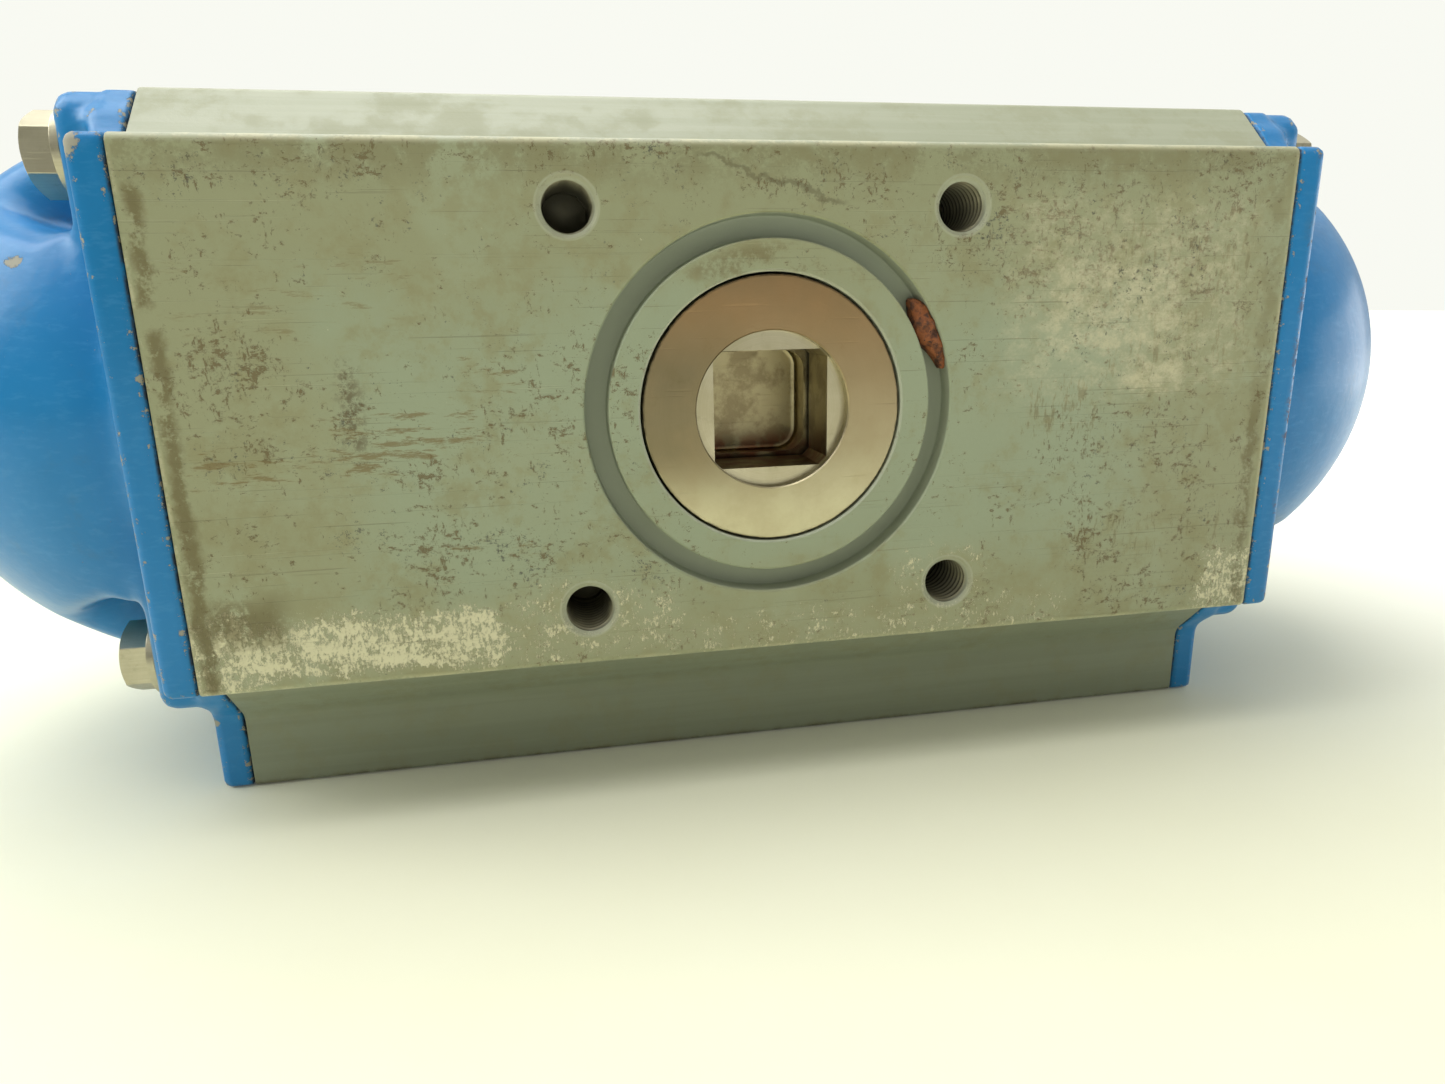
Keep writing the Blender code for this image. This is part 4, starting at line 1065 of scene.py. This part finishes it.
    look.set("Base Color", colour)
    rough = look.add(look.times(fine, 0.20), 0.34, look.times(film, 0.2), look.times(pale, 0.2))
    look.set("Roughness", look.math("MINIMUM", rough, 0.9))
    look.set("Metallic", look.times(deep, 0.6))
    relief = look.add(look.times(fine, 0.35), look.times(pale, 0.6), look.times(light, face, -0.5),
                      look.times(cut, face, -0.7), look.times(speck, 0.4), look.times(mid, 0.5))
    look.set("Normal", look.bump(relief, 0.08, 0.8))
    look.set("Specular IOR Level", 0.40)
    return look


def paint_look():
    look = Look("blue_paint", "blue_paint")
    x, y, z = look.x, look.y, look.z
    ax = look.math("ABSOLUTE", x)
    convex, hollow = look.mark("convex"), look.mark("hollow")
    cloud = look.noise(0.025, 4, 0.55)
    colour = look.mix(look.step(cloud, 0.3, 0.7), (0.012, 0.190, 0.460), (0.024, 0.225, 0.530))
    # brushed-on streaks
    strokes = look.noise(1.0, 4, 0.6, look.stretch((0.30, 0.05, 0.9), (0.5, 0.2, 0.3)))
    colour = look.mix(look.times(look.step(strokes, 0.48, 0.75), 0.30), colour,
                      (0.070, 0.300, 0.600))
    # grime and painted shade in the hollows, grime along the joint
    hollow_shade_and_grime = look.step(hollow, 0.12, 0.6)
    grime = look.times(hollow_shade_and_grime, look.step(look.noise(0.3, 5, 0.6), 0.35, 0.65), 0.55)
    joint = look.times(look.step(ax, 106.75, 106.35), look.step(look.noise(0.35, 6, 0.7), 0.35, 0.60))
    colour = look.mix(look.most(grime, look.times(joint, 0.85)), colour, (0.050, 0.038, 0.026))
    film = look.times(look.step(look.noise(0.07, 7, 0.7), 0.56, 0.78), 0.22)
    colour = look.mix(film, colour, (0.110, 0.140, 0.130))
    # chips: rare on the faces, frequent on the edges
    chew = look.noise(0.55, 6, 0.7, look.stretch(offset=(11, 4, 8)))
    worn = look.step(look.add(chew, look.times(look.step(convex, 0.12, 0.5), 0.16)), 0.735, 0.765)
    spots = look.add(look.cells(0.040, look.stretch((1, 1, 1.6), (0.3, 0.6, 0.2))),
                     look.times(look.add(chew, -0.5), 0.16))
    spots = look.step(spots, 0.062, 0.048)
    corner = look.blob((-111.5, -65.5, 46.0), (3.6, 5, 4.5), 0.2)
    corner = look.most(corner, look.blob((-130.1, -48.0, 28.8), (2.8, 3.4, 1.7), 0.2))
    corner = look.step(look.add(look.noise(0.9, 8, 0.8), look.times(corner, 0.30)), 0.66, 0.72)
    rusty = look.times(look.step(look.noise(0.30, 7, 0.78), 0.53, 0.59),
                       look.step(x, 109.3, 111.8), look.step(y, -60.0, -64.0))
    chip = look.most(worn, spots, corner)
    colour = look.mix(look.times(chip, 0.9), colour, (0.400, 0.370, 0.270))
    colour = look.mix(look.times(rusty, 0.85), colour, (0.130, 0.070, 0.040))
    dull = look.most(chip, rusty, grime, joint)
    look.set("Base Color", colour)
    look.set("Roughness", look.add(0.25, look.times(dull, 0.4), look.times(look.noise(0.2, 4), 0.12)))
    look.set("Coat Weight", look.times(look.math("SUBTRACT", 1.0, dull, clamp=True), 0.08))
    look.set("Specular IOR Level", 0.22)
    look.set("Coat Roughness", 0.16)
    relief = look.add(look.times(look.noise(0.30, 3, 0.5), 0.9), look.times(look.noise(0.09, 3), 2.0),
                      look.times(look.noise(1.4, 3), 0.15), look.times(chip, -1.2))
    look.set("Normal", look.bump(relief, 0.10, 0.75))
    return look


def metal_look(name, slot, base, other, rough=0.34, stain=(0.10, 0.075, 0.05), stains=0.4,
               turned_about=None):
    """Machined or drawn metal with lay marks, scratches and stains."""
    look = Look(name, slot, rough, 1.0)
    colour = look.mix(look.step(look.noise(0.10, 5, 0.6), 0.35, 0.65), base, other)
    spotty = look.step(look.noise(0.22, 7, 0.7), 0.56, 0.74)
    colour = look.mix(look.times(spotty, stains), colour, stain)
    lay = look.noise(1.0, 3, 0.6, look.stretch((0.12, 5.0, 5.0)))
    if turned_about:
        flat = {"Y": (1, 0, 1), "X": (0, 1, 1)}[turned_about]
        radius = look.vector("LENGTH", look.vector("MULTIPLY", look.place, flat))
        line = look.tree.nodes.new("ShaderNodeCombineXYZ")
        look.feed(line.inputs[0], look.times(radius, 6.0))
        look.feed(line.inputs[1], look.times(look.y if turned_about == "Y" else look.x, 6.0))
        lay = look.noise(1.0, 3, 0.6, line.outputs[0])
    look.set("Base Color", look.mix(look.times(lay, 0.25), colour, stain))
    look.set("Roughness", look.add(rough - 0.08, look.times(lay, 0.12), look.times(spotty, 0.15)))
    marks = look.most(look.scratches(25, 0.05, 2.2, 7, 0.70, 0.74), look.scratches(-50, 0.05, 2.0, 8, 0.70, 0.74))
    look.set("Normal", look.bump(look.add(look.times(lay, 0.8), look.times(marks, -0.8),
                                          look.times(spotty, 0.3)), 0.02, 0.6))
    return look


def shaft_look():
    look = metal_look("turned_steel", "turned_steel", (0.500, 0.455, 0.300), (0.590, 0.545, 0.385),
                      0.36, (0.120, 0.080, 0.050), 0.25, "Y")
    base = look.shader.inputs["Base Color"].links[0].from_socket
    x, y, z = look.x, look.y, look.z
    radius = look.math("SQRT", look.add(look.times(x, x), look.times(z, z)))
    # the face is browned above and paler below
    face = look.times(look.step(y, -65.2, -65.65), look.step(radius, 14.0, 14.8))
    tone = look.mix(look.step(z, -21, 20), (0.570, 0.535, 0.345), (0.425, 0.262, 0.118))
    middle = look.step(look.math("ABSOLUTE", z), 21, 6)
    tone = look.mix(look.times(middle, look.step(x, 20, -18, 0.38, 0.92)), tone, (0.175, 0.140, 0.070))
    cloud = look.step(look.noise(0.12, 6, 0.65), 0.35, 0.70, 0.0, 0.30)
    tone = look.mix(cloud, tone, (0.300, 0.220, 0.110))
    base = look.mix(look.times(face, 0.88), base, tone)
    rim = look.times(look.step(radius, 24.05, 24.5), look.step(y, -64.5, -65.3))
    base = look.mix(look.times(rim, look.step(look.noise(0.4, 5), 0.35, 0.6), 0.8), base, (0.04, 0.03, 0.02))
    # rust and dirt inside the socket, and painted shade in its relief groove
    inside = look.times(look.step(radius, 15.8, 15.2), look.step(y, -63.2, -62.6), look.step(y, -38, -39))
    rust = look.times(inside, look.step(look.noise(0.16, 6, 0.65), 0.44, 0.62))
    low = look.times(inside, look.step(z, -6, -10.5))
    base = look.mix(look.times(inside, 0.8), base, (0.420, 0.360, 0.195))
    base = look.mix(look.times(rust, 0.62), base, (0.190, 0.145, 0.075))
    base = look.mix(look.times(low, look.step(look.noise(0.3, 4), 0.35, 0.6), 0.85), base, (0.235, 0.095, 0.052))
    # painted shade: the relief groove in the socket is painted near-black
    relief = look.times(look.step(y, -51.6, -51.2), look.step(y, -49.9, -50.3), look.step(radius, 10.6, 11.1))
    base = look.mix(relief, base, (0.012, 0.010, 0.008))
    look.set("Base Color", base)
    return look


def soft_look(name, slot, base, other, rough, bump=0.03, scale=0.5, dust=(0.3, 0.28, 0.22), dusty=0.12):
    """Rubber or plastic: fine surface, a little dust and shine that varies."""
    look = Look(name, slot, rough)
    colour = look.mix(look.step(look.noise(0.12, 4), 0.35, 0.65), base, other)
    film = look.step(look.noise(0.35, 7, 0.7), 0.50, 0.75)
    look.set("Base Color", look.mix(look.times(film, dusty), colour, dust))
    look.set("Roughness", look.add(rough - 0.1, look.times(look.noise(0.4, 4), 0.2)))
    look.set("Normal", look.bump(look.noise(scale * 4, 4, 0.6), bump, 0.6))
    return look


def cast_look():
    look = Look("cast_aluminium", "cast_aluminium", 0.42, 0.9)
    grain = look.noise(1.2, 5, 0.65)
    colour = look.mix(look.step(look.noise(0.06, 5), 0.35, 0.65), (0.50, 0.51, 0.52), (0.62, 0.62, 0.61))
    oil = look.step(look.noise(0.10, 6, 0.65), 0.52, 0.70)
    look.set("Base Color", look.mix(look.times(oil, 0.35), colour, (0.20, 0.17, 0.12)))
    look.set("Roughness", look.add(0.32, look.times(grain, 0.25)))
    look.set("Normal", look.bump(grain, 0.05, 0.6))
    return look


def rust_look():
    look = Look("rust_deposit", "turned_steel", 0.8, 0.0)
    patch = look.noise(0.40, 6, 0.65)
    colour = look.mix(look.step(patch, 0.38, 0.56), (0.060, 0.024, 0.014), (0.310, 0.095, 0.026))
    colour = look.mix(look.step(look.noise(0.9, 5, 0.7), 0.56, 0.68), colour, (0.035, 0.022, 0.018))
    radius = look.vector("LENGTH", look.vector("MULTIPLY", look.place, (1, 0, 1)))
    rim = look.step(look.math("ABSOLUTE", look.add(radius, -33.4)), 1.1, 2.3)
    colour = look.mix(look.times(rim, look.step(patch, 0.60, 0.40)), colour, (0.045, 0.022, 0.016))
    look.set("Base Color", colour)
    look.set("Roughness", look.add(0.45, look.times(patch, 0.4)))
    look.set("Normal", look.bump(look.add(look.noise(0.8, 6, 0.7), look.times(patch, 1.5)), 0.35, 1.0))
    return look


# ---- the object ---------------------------------------------------------------------------
coat, paint, steel = housing_look(), paint_look(), shaft_look()
stainless = metal_look("stainless", "stainless", (0.50, 0.47, 0.34), (0.58, 0.55, 0.41), 0.42)
spring_steel = metal_look("spring_steel", "spring_steel", (0.13, 0.13, 0.14), (0.20, 0.20, 0.21), 0.38)
cast = cast_look()
rubber = soft_look("black_rubber", "black_rubber", (0.014, 0.014, 0.014), (0.03, 0.03, 0.028), 0.6)
rust = rust_look()
polymer = soft_look("bearing_polymer", "bearing_polymer", (0.55, 0.50, 0.38), (0.66, 0.61, 0.48), 0.45)
plastic = soft_look("black_plastic", "black_plastic", (0.018, 0.018, 0.020), (0.035, 0.035, 0.036), 0.4,
                    0.04, 1.2)

piece("housing_shell", housing_mesh(), BODY, coat, ["housing"])
cap = cap_mesh(0.9)
piece("left_cap_casting", moved(cap, MIRROR_X), BODY, paint, ["left_end_cap"], 75)
piece("right_cap_casting", cap, BODY, paint, ["right_end_cap"], 75)
piece("pinion", shaft_mesh(), SHAFT, steel, ["pinion_shaft"])
piece("rust_deposit", rust_mesh(), BODY, rust, [], 60)

bolt = cap_bolt()
plain_washer = washer(4.3, 8.0, -1.6, -0.1)
turns = (7, 41, 22, 53)
for word, side in (("left", -1), ("right", 1)):
    places = [(-BOLT_Y, BOLT_Z), (-BOLT_Y, -BOLT_Z), (BOLT_Y, BOLT_Z), (BOLT_Y, -BOLT_Z)]
    for i, (y, z) in enumerate(places):
        piece(f"{word}_hex_bolt_{i + 1}", at_cap_bolt(bolt, side, y, z), BODY, stainless,
              [f"{word}_cap_bolt_{i + 1}"])
        piece(f"{word}_washer_{i + 1}", at_cap_bolt(plain_washer, side, y, z), BODY, stainless,
              [f"{word}_cap_washer_{i + 1}"])

for word, side in (("closed", 1), ("open", -1)):
    place = {"x": side * 16.0, "y": 35.5}
    piece(f"{word}_stop", shift(stop_screw_mesh(), **place), f"{word}_stop", stainless,
          [f"{word}_stop_screw"])
    nut = carve(hex_blank(13.0, 58.7, 63.7, True), cylinder(4.2, 57, 65, 48))
    piece(f"{word}_nut", shift(nut, **place), BODY, stainless, [f"{word}_lock_nut"])
    piece(f"{word}_stop_washer", shift(washer(4.2, 7.0, 57.2, 58.4), **place), BODY, rubber,
          [f"{word}_stop_seal"])

for word, side, body in (("right", 1, "right_piston_group"), ("left", -1, "left_piston_group")):
    def placed(mesh):
        return mesh if side > 0 else moved(mesh, HALF_TURN)

    piece(f"{word}_piston_casting", placed(piston_mesh()), body, cast, [f"{word}_piston"])
    piece(f"{word}_pad", placed(pad_mesh()), body, polymer, [f"{word}_rack_pad"])
    piece(f"{word}_seal", placed(ring(46.1, 49.75, 60.3, 63.7, TO_X, 0.9)), body, rubber,
          [f"{word}_piston_seal"])
    piece(f"{word}_guide", placed(ring(47.9, 49.75, 51.6, 57.0, TO_X)), body, polymer,
          [f"{word}_guide_ring"])
    piece(f"{word}_cap_gasket", placed(ring(52.1, 54.1, 106.3, 108.1, TO_X, 0.5)), BODY, rubber,
          [f"{word}_cap_seal"])
    for label, mean, wire, end, count, keep in (("outer", 32.5, 2.4, 149.7, 4, 0.625),
                                                ("inner", 20.5, 1.6, 157.7, 5, 0.655)):
        coil = piece(f"{word}_{label}_coil", placed(spring_mesh(mean, wire, 60.8, end, count)), BODY,
                     spring_steel, [f"{word}_{label}_spring"], 80)
        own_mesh(coil)

piece("front_seal", ring(22.7, 24.8, -62.3, -59.7, TO_Y, 0.6), SHAFT, rubber,
      ["front_shaft_seal"])
piece("rear_seal", ring(14.1, 16.2, 59.7, 62.3, TO_Y, 0.6), SHAFT, rubber,
      ["rear_shaft_seal"])
piece("thrust_ring", ring(16.3, 22.0, 66.3, 67.7, TO_Y, 0.2), SHAFT, polymer, ["thrust_washer"])
piece("front_bearing", ring(24.9, 27.5, -57.7, -50.3, TO_Y), BODY, polymer, ["front_bush"])
piece("rear_bearing", ring(16.3, 19.0, 50.3, 57.7, TO_Y), BODY, polymer, ["rear_bush"])
piece("snap_ring", retaining_ring_mesh(), SHAFT, spring_steel, ["retaining_ring"])
piece("indicator_disc", indicator_mesh(), SHAFT, plastic, ["position_indicator"])
piece("indicator_bolt", indicator_screw_mesh(), SHAFT, stainless, ["indicator_screw"])
piece("port_plug", plug_mesh(), BODY, stainless, ["gallery_plug"])
for name in ("left_gallery_seal", "right_gallery_seal"):
    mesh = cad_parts[name].data
    mesh.materials.clear()
    mesh.materials.append(rubber.material)

# ---- stage, light and camera --------------------------------------------------------------
floor_look = Look("pale_floor", "")
tone = floor_look.mix(floor_look.noise(0.006, 5, 0.6), (0.71, 0.71, 0.52), (0.80, 0.81, 0.66))
# painted light: the floor turns paler and glows more strongly with distance from the object and towards the right, so
# it stays darker near the object and bright on the right; the glow also lights the object from below
away = floor_look.add(floor_look.vector("LENGTH", floor_look.place), floor_look.times(floor_look.x, 0.6))
tone = floor_look.mix(floor_look.step(away, 230, 520), tone,
                      (0.86, 0.87, 0.82))
floor_look.set("Base Color", tone)
floor_look.set("Roughness", 0.55)
floor_look.set("Emission Color", (0.945, 0.955, 0.890))
floor_look.set("Emission Strength", floor_look.step(away, 200, 900, 0.04, 0.62))
floor_mesh = bpy.data.meshes.new("floor")
floor_mesh.from_pydata([(-4, -4, 0), (4, -4, 0), (4, 4, 0), (-4, 4, 0)], [], [(0, 1, 2, 3)])
floor_mesh.materials.append(floor_look.material)
floor = bpy.data.objects.new("floor", floor_mesh)
bpy.context.scene.collection.objects.link(floor)
floor.location.z = -0.0002

def studio_world():
    """Seen directly it is a pale wall; as light it is bright above and behind, dim in front."""
    world = bpy.data.worlds.new("studio")
    bpy.context.scene.world = world
    world.use_nodes = True
    nodes, links = world.node_tree.nodes, world.node_tree.links
    split = nodes.new("ShaderNodeSeparateXYZ")
    links.new(nodes.new("ShaderNodeTexCoord").outputs["Generated"], split.inputs[0])

    def graded(socket, low, high, low_out, high_out):
        node = nodes.new("ShaderNodeMapRange")
        node.interpolation_type = "SMOOTHSTEP"
        links.new(socket, node.inputs[0])
        for k, number in enumerate((low, high, low_out, high_out)):
            node.inputs[k + 1].default_value = number
        return node.outputs[0]

    total = nodes.new("ShaderNodeMath")
    links.new(graded(split.outputs[2], 0.0, 0.6, 0.03, 0.46), total.inputs[0])
    links.new(graded(split.outputs[1], -0.5, 0.1, 0.0, 0.42), total.inputs[1])
    behind = nodes.new("ShaderNodeMath")
    links.new(graded(split.outputs[1], 0.45, 0.95, 0.0, 0.35), behind.inputs[0])
    links.new(total.outputs[0], behind.inputs[1])
    soft = nodes.new("ShaderNodeBackground")
    soft.inputs["Color"].default_value = (1.0, 0.985, 0.90, 1)
    links.new(behind.outputs[0], soft.inputs["Strength"])
    wall = nodes["Background"]
    wall.inputs["Color"].default_value = (0.945, 0.955, 0.890, 1)
    choose = nodes.new("ShaderNodeMixShader")
    links.new(nodes.new("ShaderNodeLightPath").outputs["Is Camera Ray"], choose.inputs[0])
    links.new(soft.outputs[0], choose.inputs[1])
    links.new(wall.outputs[0], choose.inputs[2])
    links.new(choose.outputs[0], nodes["World Output"].inputs["Surface"])


studio_world()
bpy.context.scene.view_settings.view_transform = "Standard"


def area_light(name, place, target, size, power, colour=(1, 1, 1)):
    lamp = bpy.data.lights.new(name, "AREA")
    lamp.shape = "RECTANGLE"
    lamp.size, lamp.size_y = size
    lamp.energy = power
    lamp.color = colour
    obj = bpy.data.objects.new(name, lamp)
    bpy.context.scene.collection.objects.link(obj)
    obj.location = place
    obj.visible_camera = False
    aim = Vector(target) - Vector(place)
    obj.rotation_euler = aim.to_track_quat("-Z", "Y").to_euler()
    return obj


area_light("overhead", (-0.15, 0.10, 0.95), (0, 0, 0.05), (0.9, 0.7), 7.0)
area_light("left_side", (-0.75, 0.00, 0.62), (-0.14, 0, 0.08), (0.6, 0.6), 4.4)
area_light("right_side", (0.80, -0.06, 0.08), (0.14, 0, 0.06), (0.6, 0.3), 1.2)
area_light("front_fill", (-0.5, -0.9, 0.55), (0, 0, 0.06), (0.8, 0.6), 0.22)

lens = bpy.data.cameras.new("camera")
lens.sensor_width = 36.0
lens.lens = 36.0 * 926.36 / 1445
lens.clip_start = 0.01
camera = bpy.data.objects.new("camera", lens)
camera.location = (-0.04224, -0.23457, 0.09504)
camera.rotation_euler = (radians(75.556), radians(1.099), radians(-11.016))
bpy.context.scene.collection.objects.link(camera)
bpy.context.scene.camera = camera
